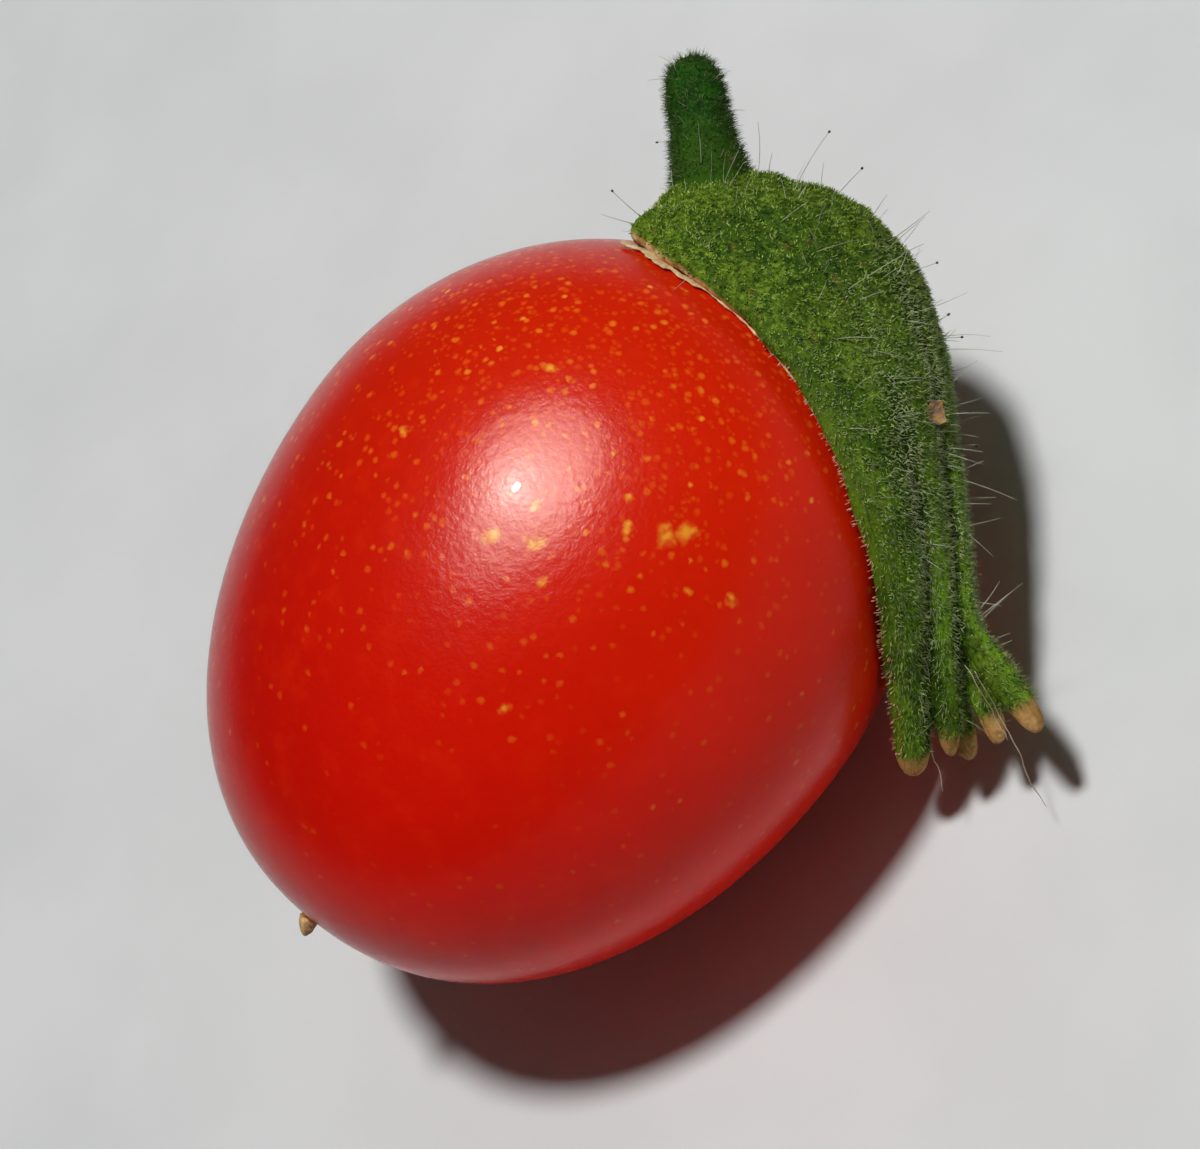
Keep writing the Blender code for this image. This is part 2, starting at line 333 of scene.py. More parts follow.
def skin_point(x, up, side, lift):
    """Points this far over the stalk half of the fruit, in hood axes: out = side sqrt(radius(x)^2 - up^2)."""
    radius = FRUIT_RADIUS * (1 - (x / STALK_LENGTH) ** 2) ** (STALK_BLUNTNESS / 2)
    skin = np.stack([x, up, side * np.sqrt(np.maximum(radius**2 - up**2, 0))], -1)
    slope = skin * np.array([(FRUIT_RADIUS / STALK_LENGTH) ** 2, 1, 1])
    return skin + unit(slope) * np.asarray(lift)[..., None]


def arch_points(share):
    """The points of every hood row this share of the way over it:

    near (1 - s)(1 - 2 s) + crest 4 s (1 - s) + far s (2 s - 1).
    """
    near, crest, far = (np.array([row[k] for row in HOOD_ROWS]) for k in range(3))
    near = skin_point(near[:, 0], near[:, 1], 1, RIM_LIFT)
    far = skin_point(far[:, 0], far[:, 1], -1, RIM_LIFT)
    return from_hood(
        near * (1 - share) * (1 - 2 * share) + crest * 4 * share * (1 - share) + far * share * (2 * share - 1)
    )


def sepal_frame(index, stations):
    """Centre, along, across, outward, half width and half thickness at each station of one sepal."""
    share = (LOBE_SPANS[index] + LOBE_SPANS[index + 1]) / 2
    half_share = (LOBE_SPANS[index + 1] - LOBE_SPANS[index]) / 2
    rows = len(HOOD_ROWS)
    tip = from_hood(LOBE_TIPS[index])
    path = arch_points(share)
    sides = arch_points(share + half_share) - arch_points(share - half_share)
    widths = np.linalg.norm(sides, axis=-1) / 2 * np.interp(np.arange(rows), *np.transpose(OVERLAPS))
    middle = (path[-1] + tip) / 2 + (path[-1] - path[-2]) * LOBE_FOLLOW
    path = np.vstack([path, middle, tip])
    sides = np.vstack([sides, sides[-1], sides[-1]])
    width = LOBE_HALF_WIDTHS[index]
    widths = np.concatenate([widths, [widths[-1] * 0.3 + width * 0.7, width]])
    depths = np.array([SEPAL_HALF_THICKNESS] * rows + [LOBE_HALF_THICKNESS] * 2)
    positions = np.linspace(0, len(path) - 1, stations)
    ahead = np.minimum(positions + 0.05, len(path) - 1)
    behind = np.maximum(positions - 0.05, 0)
    along = unit(catmull_rom(path, ahead) - catmull_rom(path, behind))
    across = square_to(catmull_rom(sides, positions), along)
    half_width, half_depth = (catmull_rom(values, positions)[:, 0] for values in (widths, depths))
    return catmull_rom(path, positions), along, across, np.cross(across, along), half_width, half_depth


# Materials


def colour(rgb):
    """The colour with full alpha."""
    return (rgb[0], rgb[1], rgb[2], 1.0)


class Nodes:
    """Builds a material's or a group's nodes, each call adding one node and linking what it is given.

    where is the place that the patterns are taken at.
    """

    where = None

    def __init__(self, tree):
        self.tree = tree

    def give(self, socket, value):
        """Links a socket, or sets a value. A colour may come without its alpha."""
        if isinstance(value, bpy.types.NodeSocket):
            self.tree.links.new(value, socket)
        else:
            socket.default_value = colour(value) if socket.type == "RGBA" else value

    def add(self, kind, inputs=(), **settings):
        node = self.tree.nodes.new(kind)
        for key, value in settings.items():
            setattr(node, key, value)
        for key, value in dict(inputs).items():
            self.give(node.inputs[key], value)
        return node

    def math(self, operation, *values):
        return self.add("ShaderNodeMath", enumerate(values), operation=operation).outputs[0]

    def times(self, first, second):
        return self.math("MULTIPLY", first, second)

    def line(self, value, slope, start):
        """value * slope + start."""
        return self.math("MULTIPLY_ADD", value, slope, start)

    def vector(self, operation, *values, output=0, **named):
        inputs = {**dict(enumerate(values)), **named}
        return self.add("ShaderNodeVectorMath", inputs, operation=operation).outputs[output]

    def step(self, value, low, high, to_low=0.0, to_high=1.0):
        """Smooth step of the value from low to high."""
        names = {"Value": value, "From Min": low, "From Max": high, "To Min": to_low, "To Max": to_high}
        return self.add("ShaderNodeMapRange", names, interpolation_type="SMOOTHSTEP").outputs[0]

    def mix(self, factor, first, second):
        return self.add("ShaderNodeMix", {0: factor, 6: first, 7: second}, data_type="RGBA").outputs[2]

    def over(self, base, value, low, high, strength, rgb):
        """The colour laid over the base as the value goes from low to high, up to this strength."""
        return self.mix(self.step(value, low, high, 0.0, strength), base, rgb)

    def noise(self, scale, detail=3.0, roughness=0.55, vector=None, output=0):
        inputs = {"Scale": scale, "Detail": detail, "Roughness": roughness, "Vector": vector or self.where}
        return self.add("ShaderNodeTexNoise", inputs).outputs[output]

    def ragged(self, scale, detail, reach):
        """The place moved by a noise, by half of this reach at most."""
        shift = self.vector("SUBTRACT", self.noise(scale, detail, 0.5, output="Color"), (0.5, 0.5, 0.5))
        return self.vector("ADD", self.where, self.vector("SCALE", shift, Scale=reach))

    def specks(self, scale, size, share, softness):
        """Places the speck group; gives its mask and its random number."""
        inputs = {"Vector": self.where, "Scale": scale, "Size": size, "Share": share, "Softness": softness}
        node = self.add("ShaderNodeGroup", inputs, node_tree=speck_group())
        return node.outputs["Mask"], node.outputs["Random"]

    def attribute(self, name):
        return self.add("ShaderNodeAttribute", attribute_name=name).outputs["Fac"]

    def distance(self, vector, point):
        return self.vector("DISTANCE", vector, point, output="Value")

    def bump(self, height, strength, distance):
        inputs = {"Height": height, "Strength": strength, "Distance": distance}
        return self.add("ShaderNodeBump", inputs).outputs[0]


class Finish(Nodes):
    """The nodes of one material, round its principled shader."""

    def __init__(self, name, display):
        self.material = bpy.data.materials.new(name)
        self.material.use_nodes = True
        self.material.diffuse_color = colour(display)
        super().__init__(self.material.node_tree)
        self.shader = self.tree.nodes["Principled BSDF"]
        self.where = self.add("ShaderNodeTexCoord").outputs["Object"]

    def done(self, base, roughness, normal=None, specular=None):
        """Gives the shader its colour, roughness, normal and specular level, and gives back the material."""
        names = {"Base Color": base, "Roughness": roughness, "Normal": normal, "Specular IOR Level": specular}
        for key, value in names.items():
            if value is not None:
                self.give(self.shader.inputs[key], value)
        return self.material


def speck_group():
    """Dots of uneven size and brightness, one in some of the cells of a Voronoi pattern."""
    name = "Specks"
    if name in bpy.data.node_groups:
        return bpy.data.node_groups[name]
    tree = bpy.data.node_groups.new(name, "ShaderNodeTree")
    tree.interface.new_socket("Vector", in_out="INPUT", socket_type="NodeSocketVector")
    for key, default in (("Scale", 2500.0), ("Size", 0.3), ("Share", 0.5), ("Softness", 0.1)):
        tree.interface.new_socket(key, in_out="INPUT", socket_type="NodeSocketFloat").default_value = default
    for key in ("Mask", "Random"):
        tree.interface.new_socket(key, in_out="OUTPUT", socket_type="NodeSocketFloat")
    nodes = Nodes(tree)
    given = nodes.add("NodeGroupInput").outputs
    nodes.where = given["Vector"]
    ragged = nodes.ragged(4200.0, 2.0, 0.00016)
    cells = nodes.add("ShaderNodeTexVoronoi", {"Vector": ragged, "Scale": given["Scale"], "Randomness": 1.0})
    parts = nodes.add("ShaderNodeSeparateColor", {0: cells.outputs["Color"]}).outputs
    size = nodes.times(nodes.line(parts[1], 0.75, 0.35), given["Size"])
    dot = nodes.step(cells.outputs["Distance"], size, nodes.math("ADD", size, given["Softness"]), 1.0, 0.0)
    there = nodes.math("LESS_THAN", parts[0], given["Share"])
    nodes.add("NodeGroupOutput", {"Mask": nodes.times(dot, there), "Random": parts[2]})
    return tree


def make_patchy(name, display, noise, edges, dark, pale, roughness, bump=None, specular=None, detail=None):
    """A dry finish in two colours: dark below the first edge of the noise, pale above the second.

    roughness is (noise from, noise to, roughness from, roughness to). detail, where given, takes the nodes
    and the colour so far and gives the final colour.
    """
    nodes = Finish(name, display)
    patches = nodes.noise(*noise)
    base = nodes.mix(nodes.step(patches, *edges), dark, pale)
    if detail:
        base = detail(nodes, base)
    normal = nodes.bump(patches, *bump) if bump else None
    return nodes.done(base, nodes.step(patches, *roughness), normal, specular)


# Settings


def colour_setting(name, description, default):
    return FloatVectorProperty(name=name, description=description, default=default, size=3, subtype="COLOR")


def length_setting(name, description, millimetres, least=0.0):
    sizes = {"default": millimetres * MM, "min": least * MM}
    return FloatProperty(name=name, description=description, unit="LENGTH", precision=6, **sizes)


def count_setting(name, description, default, least=0):
    return IntProperty(name=name, description=description, default=default, min=least)


class TomatoFruitSettings(bpy.types.PropertyGroup):
    red: colour_setting("Red", "Colour of the ripe skin", (0.93, 0.009, 0.001))
    # Painted shade: the darker red that the skin's upper side is painted with
    upper_shade_red: colour_setting("Deep red", "Colour of the darker flesh", (0.46, 0.004, 0.001))
    speck: colour_setting("Specks", "Colour of the small pale specks", (0.85, 0.2, 0.012))
    blotch: colour_setting("Blotches", "Colour of the larger yellow marks", (0.9, 0.38, 0.03))
    rings: count_setting("Rings", "Rings of points from end to end", 190, 20)
    sides: count_setting("Sides", "Points round the fruit", 256, 24)


class TomatoCalyxSettings(bpy.types.PropertyGroup):
    green: colour_setting("Green", "Main colour of the calyx", (0.092, 0.148, 0.006))
    bright: colour_setting("Fresh green", "Colour near the rim", (0.15, 0.26, 0.01))
    tan: colour_setting("Tan", "Colour of the dry tips", (0.62, 0.37, 0.15))
    voxel: length_setting("Grain", "Size of the faces that the fused calyx gets", 0.095, 0.05)


class TomatoHairSettings(bpy.types.PropertyGroup):
    down_count: count_setting("Down", "Short hairs on the calyx", 27000)
    stalk_down_count: count_setting("Stalk down", "Short hairs on the stalk", 5000)
    long_count: count_setting("Long hairs", "Long hairs placed at random", 190)
    rim_count: count_setting("Rim hairs", "Hairs along the near rim", 240)
    down_length: length_setting("Down length", "Usual length of a short hair", 0.2)
    long_length: length_setting("Long hair length", "Usual length of a long hair", 0.85)


class TomatoStageSettings(bpy.types.PropertyGroup):
    floor: colour_setting("Floor", "Colour of the floor", (0.66, 0.67, 0.67))
    lamp_power: FloatProperty(
        name="Lamp", description="Power of the soft lamp overhead", default=1.5, subtype="POWER", unit="POWER"
    )
    gloss: FloatProperty(
        name="Gloss lamps", description="Power of the lamps that only show in gloss", default=2.2, min=0.0
    )
    fill: FloatProperty(name="Fill", description="Strength of the pale surroundings", default=0.045, min=0.0)


def seeded(offset):
    """The random draws of one piece."""
    return np.random.default_rng(FIRST_SEED + offset)


def finish_piece(obj, material, slot, *nodes):
    """Gives the piece its material and its body, and hides the solids that it stands for; the slot is not
    used.
    """
    obj.data.materials.clear()
    obj.data.materials.append(material)
    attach(obj, BODY)
    if nodes:
        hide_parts(*nodes)
    return {"FINISHED"}


# Fruit

# Larger yellow marks: (x, degrees round from the top towards -Y, radius) in millimetres
BLOTCHES = (
    (2.59, 47.8, 0.44), (3.0, 50.2, 0.38), (1.97, 42.1, 0.26), (2.73, 39.3, 0.22), (-0.46, 24.3, 0.42),
    (0.15, 31.1, 0.38), (1.07, 27.2, 0.28), (-0.65, 35.5, 0.24), (2.16, 63.5, 0.3), (1.65, 56.5, 0.26),
    (0.5, -1.3, 0.26), (2.1, 42.0, 0.22), (-4.3, 42.5, 0.19), (4.6, 12.0, 0.3), (-2.6, 152.0, 0.34),
    (3.4, -38.0, 0.36), (0.8, -66.0, 0.3), (-3.8, -30.0, 0.3), (5.2, -95.0, 0.36), (-1.4, -120.0, 0.3),
    (4.4, 118.0, 0.32),
)
# A small spot that is smoother than the rest, which shows the glint, given in the same way
GLASSY_SPOT = (1.13, 22.8, 0.2)


def make_skin_material(settings):
    nodes = Finish("tomato_skin", settings.red)
    up = (0.0, math.cos(HOOD_LEAN), math.sin(HOOD_LEAN))
    height = nodes.vector("DOT_PRODUCT", nodes.where, up, output="Value")
    middle = AXIS_HEIGHT * MM * math.sin(HOOD_LEAN)
    x = nodes.add("ShaderNodeSeparateXYZ", {0: nodes.where}).outputs[0]
    towards_stalk = nodes.step(x, -0.0105, 0.0085)
    # Flesh that shows through, clouded, more orange towards the stalk; painted shade darkens it upwards
    flesh_and_shade = nodes.mix(nodes.step(height, middle - 0.0105, middle + 0.011), settings.red, settings.upper_shade_red)
    clouds = nodes.step(nodes.noise(160.0, 4.0), 0.35, 0.7, 0.3, 0.0)
    flesh_and_shade = nodes.mix(clouds, flesh_and_shade, (0.5, 0.003, 0.001))
    flesh_and_shade = nodes.over(flesh_and_shade, nodes.noise(1100.0, 3.0), 0.45, 0.8, 0.2, (0.85, 0.03, 0.002))
    flesh_and_shade = nodes.mix(nodes.times(towards_stalk, 0.5), flesh_and_shade, (0.64, 0.024, 0.001))
    # Specks of three sizes, denser on the upper side and towards the stalk
    density = nodes.times(towards_stalk, nodes.step(height, middle - 0.009, middle + 0.002, 0.35, 1.0))
    share = nodes.line(density, 0.66, 0.07)
    strength = nodes.line(density, 0.6, 0.3)
    small, random = nodes.specks(2870.0, 0.13, share, 0.34)
    tint = nodes.mix(nodes.math("POWER", random, 1.8), (0.74, 0.05, 0.002), settings.speck)
    skin = nodes.mix(nodes.times(small, strength), flesh_and_shade, tint)
    finest, _ = nodes.specks(4600.0, 0.17, nodes.step(density, 0.45, 0.95, 0.0, 0.6), 0.35)
    skin = nodes.mix(nodes.times(finest, 0.35), skin, (0.8, 0.09, 0.004))
    middling, random = nodes.specks(1700.0, 0.07, nodes.times(share, 0.4), 0.18)
    tint = nodes.mix(random, (0.8, 0.1, 0.005), settings.blotch)
    skin = nodes.mix(nodes.times(middling, strength), skin, tint)
    # Larger marks, ragged and patchy
    ragged = nodes.ragged(1500.0, 3.0, 0.0007)
    marks = 0.0
    for along, around, size in BLOTCHES:
        away = nodes.distance(ragged, on_fruit(along, around))
        marks = nodes.math("MAXIMUM", nodes.step(away, size * MM * 0.1, size * MM * 0.95, 1.0, 0.0), marks)
    patchy = nodes.step(nodes.noise(2700.0, 1.0), 0.34, 0.6)
    marks = nodes.times(marks, nodes.line(patchy, 0.7, 0.2))
    skin = nodes.mix(marks, skin, settings.blotch)
    # Uneven wax with fine pits, both weaker in the glassy spot
    along, around, size = GLASSY_SPOT
    uneven_skin = nodes.step(nodes.distance(nodes.where, on_fruit(along, around)), size * MM * 0.5, size * MM)
    wax = nodes.step(nodes.noise(420.0, 4.0), 0.3, 0.75, 0.205, 0.24)
    roughness = nodes.times(wax, nodes.line(uneven_skin, 0.64, 0.36))
    pits = nodes.math("SUBTRACT", nodes.noise(3300.0, 3.0, 0.65), 0.5)
    pits = nodes.times(pits, nodes.line(uneven_skin, 0.8, 0.2))
    nodes.shader.inputs["IOR"].default_value = 1.45
    return nodes.done(skin, roughness, nodes.bump(pits, 0.2, 0.0001), 0.11)


class TOMATO_OT_fruit(bpy.types.Operator):
    """Make the smooth skin of the fruit, flattened where it rests"""

    bl_idname = "tomato.fruit"
    bl_label = "Fruit"

    def execute(self, context):
        settings = context.scene.tomato_fruit
        x, radius = egg_profile(np.linspace(0, np.pi, settings.rings + 2)[1:-1])
        turn = full_turn(settings.sides)
        y = radius[:, None] * np.cos(turn)
        z = np.maximum(AXIS_HEIGHT + radius[:, None] * np.sin(turn), 0)
        rings = np.stack([np.broadcast_to(x[:, None], y.shape), y, z], -1)
        start, end = np.array([[[-BLOSSOM_LENGTH, 0, AXIS_HEIGHT]], [[STALK_LENGTH, 0, AXIS_HEIGHT]]])
        skin = put_mesh("fruit_skin", *closed_tubes(rings[None], start, end))
        return finish_piece(skin, make_skin_material(settings), "tomato_skin", "fruit")


# Calyx


def sepal_rings(index, stations, sides):
    """Rings of one sepal: centre + across w |cos|^q sign - outward d |sin|^q sign, narrowing to its tip.

    The power q goes from the section's squareness in the hood to 1.1 in the free lobes, which parts them.
    """
    centre, _, across, outward, half_width, half_depth = sepal_frame(index, stations)
    taper = nib_taper(stations, 0.085, 1.5)
    cos, sin = np.cos(full_turn(sides)), np.sin(full_turn(sides))
    positions = np.linspace(0, len(HOOD_ROWS) + 1, stations)
    power = np.interp(positions, (3, 8), (SECTION_SQUARENESS, 1.1))[:, None, None]
    side, face = (np.sign(wave)[:, None] * np.abs(wave)[:, None] ** power for wave in (cos, sin))
    wobble = 1 + 0.05 * sway(positions * 3 + index * 5, index + 1)
    widths = (half_width * taper * wobble)[:, None, None]
    depths = (half_depth * taper)[:, None, None]
    return centre[:, None] + across[:, None] * widths * side - outward[:, None] * depths * face, centre


def calyx_parts():
    """Points, quads and triangles of the closed pieces that the calyx is fused from."""
    parts = []
    for index in range(len(LOBE_TIPS)):
        parts.append(closed_nib(*sepal_rings(index, 120, 48)))
    ends = np.linspace(0, np.pi, 42)[1:-1, None]
    turn = full_turn(64)
    x = np.broadcast_to(-np.cos(ends), (len(ends), len(turn)))
    ball = np.stack([x, np.sin(ends) * np.cos(turn), np.sin(ends) * np.sin(turn)], -1)
    for centre, radii in CROWN:
        poles = from_hood(np.array([[-1.0, 0, 0], [1.0, 0, 0]]) * radii + centre)
        parts.append(closed_tubes(from_hood(ball * radii + centre)[None], poles[None, 0], poles[None, 1]))
    points, quads, triangles = zip(*parts)
    shifts = np.cumsum([0] + [len(part) for part in points[:-1]])
    quads, triangles = ([faces + by for faces, by in zip(kind, shifts)] for kind in (quads, triangles))
    return tuple(np.concatenate(arrays) for arrays in (points, quads, triangles))


def read_array(collection, field, width, kind=np.float32):
    """A field of a mesh's elements as one array with this many numbers a row."""
    values = np.empty(len(collection) * width, kind)
    collection.foreach_get(field, values)
    return values.reshape(-1, width)


def mesh_arrays(mesh):
    """Points, point normals and triangles of a mesh as arrays."""
    mesh.calc_loop_triangles()
    points = read_array(mesh.vertices, "co", 3).astype(float)
    normals = read_array(mesh.vertex_normals, "vector", 3).astype(float)
    return points, normals, read_array(mesh.loop_triangles, "vertices", 3, np.int32)


def smoothed(points, edges, rounds, weight):
    """Moves each point part of the way to the mean of its neighbours, this many times."""
    count = np.bincount(edges.ravel(), minlength=len(points)).astype(float)[:, None]
    for _ in range(rounds):
        total = np.zeros_like(points)
        np.add.at(total, edges[:, 0], points[edges[:, 1]])
        np.add.at(total, edges[:, 1], points[edges[:, 0]])
        points = points + (total / np.maximum(count, 1) - points) * weight
    return points


def fused(points, quads, triangles, voxel):
    """Points, quads and edges of the closed pieces fused by a voxel remesh.

    It is done in a scene a thousand times as large, because a remesh makes no faces under 0.1 mm.
    """
    obj = put_mesh("calyx_parts", points / MM, quads, triangles)
    remesh = obj.modifiers.new("fuse", "REMESH")
    remesh.mode = "VOXEL"
    remesh.voxel_size = voxel / MM
    remesh.adaptivity = 0.0
    made = bpy.data.meshes.new_from_object(obj.evaluated_get(bpy.context.evaluated_depsgraph_get()))
    bpy.data.objects.remove(obj)
    if len(made.loops) != 4 * len(made.polygons):
        raise RuntimeError("the fused calyx isn't all quads")
    points, _, _ = mesh_arrays(made)
    corners = read_array(made.loops, "vertex_index", 1, np.int32).reshape(-1, 4)
    edges = read_array(made.edges, "vertices", 2, np.int32)
    bpy.data.meshes.remove(made)
    return points, corners, edges


def uneven(points, seed):
    """A slow wobble in space, about -1 to 1: a fifth of the sum of sin(k . p + phase) over 14 random waves.

    The waves are 1.3 to 3 mm long.
    """
    draw = np.random.default_rng(seed)
    waves = unit(draw.normal(size=(14, 3))) * (2 * np.pi / draw.uniform(1.3, 3.0, 14))[:, None]
    return np.sin(points @ waves.T + draw.uniform(0, 2 * np.pi, 14)).sum(-1) / 5


def pushed(points, quads, amount):
    """Moves each point along its normal, the mean of the cross products of its quads' diagonals."""
    corners = points[quads]
    faces = np.cross(corners[:, 2] - corners[:, 0], corners[:, 3] - corners[:, 1])
    normals = np.zeros_like(points)
    for corner in range(4):
        np.add.at(normals, quads[:, corner], faces)
    return points + unit(normals) * amount[:, None]


def sepal_places(points):
    """For each point: which sepal it is on, how far along (0 to 1) and across (-1 to 1) it is, and the grain.

    The nearest station of each sepal gives the place. The sepal with the least (across / half width)^2 +
    0.3 (outward / half thickness)^2 there has the point.
    """
    stations = 161
    best = np.full(len(points), np.inf)
    sepal, along_share, across_share = np.zeros((3, len(points)))
    grain = np.zeros((len(points), 3))
    for index in range(len(LOBE_TIPS)):
        centre, along, across, outward, half_width, half_depth = sepal_frame(index, stations)
        near = ((points**2).sum(-1)[:, None] - 2 * points @ centre.T + (centre**2).sum(-1)).argmin(-1)
        offset = points - centre[near]
        side = (offset * across[near]).sum(-1) / half_width[near]
        face = (offset * outward[near]).sum(-1) / half_depth[near]
        score = side**2 + 0.3 * face**2
        better = score < best
        best[better] = score[better]
        sepal[better] = index
        along_share[better] = (near / (stations - 1))[better]
        across_share[better] = side[better]
        grain[better] = along[near][better]
    return sepal, along_share, np.clip(across_share, -1.5, 1.5), grain


def make_calyx_material(settings):
    nodes = Finish("calyx_green", settings.green)
    along, across, rim, sepal = (nodes.attribute(name) for name in ("along", "across", "rim", "sepal"))
    edge = nodes.math("ABSOLUTE", across)
    lower = nodes.times(nodes.step(along, 0.3, 0.6), nodes.step(along, 0.8, 0.87, 1.0, 0.3))
    parts = {0: nodes.times(across, 9.0), 1: nodes.times(along, 11.0), 2: nodes.times(sepal, 7.3)}
    streaks = nodes.noise(1.0, 4.0, 0.6, nodes.add("ShaderNodeCombineXYZ", parts).outputs[0])
    grain = nodes.noise(5600.0, 3.0, 0.7)
    coarse = nodes.noise(2300.0, 2.0, 0.6)
    patches = nodes.noise(330.0, 2.0)
    base = nodes.mix(
        nodes.step(nodes.noise(700.0, 5.0, 0.7), 0.36, 0.66), (0.026, 0.068, 0.003), settings.green
    )
    base = nodes.over(base, coarse, 0.48, 0.34, 0.75, (0.015, 0.042, 0.003))
    base = nodes.over(base, coarse, 0.5, 0.66, 0.65, (0.13, 0.22, 0.012))
    base = nodes.over(base, grain, 0.52, 0.64, 0.8, (0.19, 0.29, 0.025))
    ridge = nodes.times(nodes.step(edge, 0.75, 0.15), nodes.step(along, 0.35, 0.75))
    base = nodes.mix(nodes.times(ridge, 0.8), base, (0.19, 0.4, 0.012))
    base = nodes.over(base, patches, 0.5, 0.36, 0.6, (0.022, 0.06, 0.003))
    base = nodes.over(base, patches, 0.52, 0.68, 0.5, (0.14, 0.24, 0.012))
    base = nodes.over(base, grain, 0.47, 0.34, 0.8, (0.008, 0.026, 0.002))
    streak = nodes.times(nodes.step(streaks, 0.52, 0.36), lower)
    base = nodes.mix(nodes.times(streak, 0.45), base, (0.013, 0.045, 0.004))
    # Painted shade: the grooves between the sepals on the lower hood, darkened nearly to black
    painted_seam_shade = nodes.times(nodes.step(edge, 0.62, 0.98), lower)
    base = nodes.mix(nodes.times(painted_seam_shade, 0.9), base, (0.005, 0.016, 0.002))
    rusty, _ = nodes.specks(2100.0, 0.16, 0.12, 0.3)
    base = nodes.mix(nodes.times(rusty, 0.4), base, (0.2, 0.11, 0.025))
    fresh = nodes.times(rim, nodes.step(nodes.noise(600.0, 3.0), 0.25, 0.6, 0.2, 0.6))
    base = nodes.mix(fresh, base, settings.bright)
    torn = nodes.step(nodes.noise(1900.0, 3.0), 0.28, 0.5, 0.3, 1.0)
    cork = nodes.mix(nodes.step(coarse, 0.35, 0.65), (0.4, 0.17, 0.04), (0.72, 0.5, 0.26))
    base = nodes.mix(nodes.times(nodes.attribute("cork"), torn), base, cork)
    dry = nodes.step(nodes.noise(2500.0, 4.0, 0.7), 0.3, 0.7)
    dry = nodes.mix(dry, (0.38, 0.17, 0.04), settings.tan)
    dry = nodes.over(dry, along, 0.98, 0.94, 0.5, (0.27, 0.17, 0.03))
    uneven_edge = nodes.times(nodes.math("SUBTRACT", nodes.noise(1400.0, 2.0), 0.5), 0.02)
    tip = nodes.step(nodes.math("ADD", along, uneven_edge), DRY_TIP - 0.01, DRY_TIP + 0.01)
    base = nodes.mix(tip, base, dry)
    height = nodes.math("ADD", nodes.times(grain, 0.6), nodes.times(streaks, 0.9))
    return nodes.done(base, nodes.step(grain, 0.3, 0.8, 0.78, 0.55), nodes.bump(height, 1.0, 0.00012), 0.02)


# Swellings and a dent along the top of the hood: (x, up, out), radius and height in millimetres
LUMPS = (
    ((13.6, 2.7, 2.0), 0.55, 0.12),
    ((13.9, 1.9, 2.3), 0.4, -0.12),
    ((14.3, 0.9, 1.9), 0.7, 0.08),
    ((13.2, 2.2, 3.4), 0.5, 0.08),
)
# From here on, as a share of its length, a sepal is dry
DRY_TIP = 0.945
# How far along the first sepal its rim is corky, and up to how high over the skin
CORK_HEIGHTS = ((0.0, 0.1, 0.2, 0.35, 0.6), (0.5, 0.44, 0.38, 0.3, 0.12))
CALYX_GAP = 0.12


class TOMATO_OT_calyx(bpy.types.Operator):
    """Fuse the five sepals and the crown into the calyx"""

    bl_idname = "tomato.calyx"
    bl_label = "Calyx"

    def execute(self, context):
        settings = context.scene.tomato_calyx
        points, quads, edges = fused(*calyx_parts(), settings.voxel)
        points = smoothed(points, edges, 3, 0.5)
        lumps = 0.06 * uneven(points, 51)
        for centre, radius, height in LUMPS:
            away = ((points - from_hood(centre)) ** 2).sum(-1)
            lumps += height * np.exp(-away / radius**2)
        points = clear_of_fruit(pushed(points, quads, lumps), CALYX_GAP)
        sepal, along, across, grain = sepal_places(points)
        over = egg_value(points, 0.0) / np.linalg.norm(egg_slope(points, 0.0), axis=-1)
        near_side = np.where(sepal == 0, np.clip(-across / 0.7, 0, 1), 0)
        reach = np.interp(along, (0.5, 0.8), (0.75, 2.6))
        rim = near_side * np.clip(1.5 - over / reach, 0, 1) * np.interp(along, (0.2, 0.5), (0.15, 1))
        cork = near_side * np.clip((np.interp(along, *CORK_HEIGHTS) - over) / 0.12, 0, 1)
        attributes = dict(sepal=sepal, along=along, across=across, rim=rim, grain=grain, over=over, cork=cork)
        calyx = put_mesh("calyx_hood", points, quads, NO_TRIANGLES, attributes)
        return finish_piece(calyx, make_calyx_material(settings), "calyx_green", "calyx")


# Corky margin: its edge on the skin, (x, up) in millimetres

MARGIN = (
    (9.0, 5.0), (9.1, 4.3), (9.15, 3.7), (9.15, 3.1), (9.26, 2.5), (9.32, 1.8), (9.3, 1.2), (9.23, 0.5),
    (9.09, -0.15), (8.87, -1.05), (8.56, -2.0), (8.19, -2.8), (7.75, -3.7),
)


def make_cork_material():
    def with_olive(nodes, base):
        return nodes.over(base, nodes.noise(1100.0, 2.0), 0.5, 0.75, 0.6, (0.35, 0.3, 0.06))

    return make_patchy(
        "cork_margin", (0.55, 0.38, 0.2), (2600.0, 5.0, 0.7), (0.35, 0.7), (0.4, 0.19, 0.05),
        (0.7, 0.5, 0.22), (0.3, 0.8, 0.8, 0.6), (0.9, 0.00008), detail=with_olive,
    )


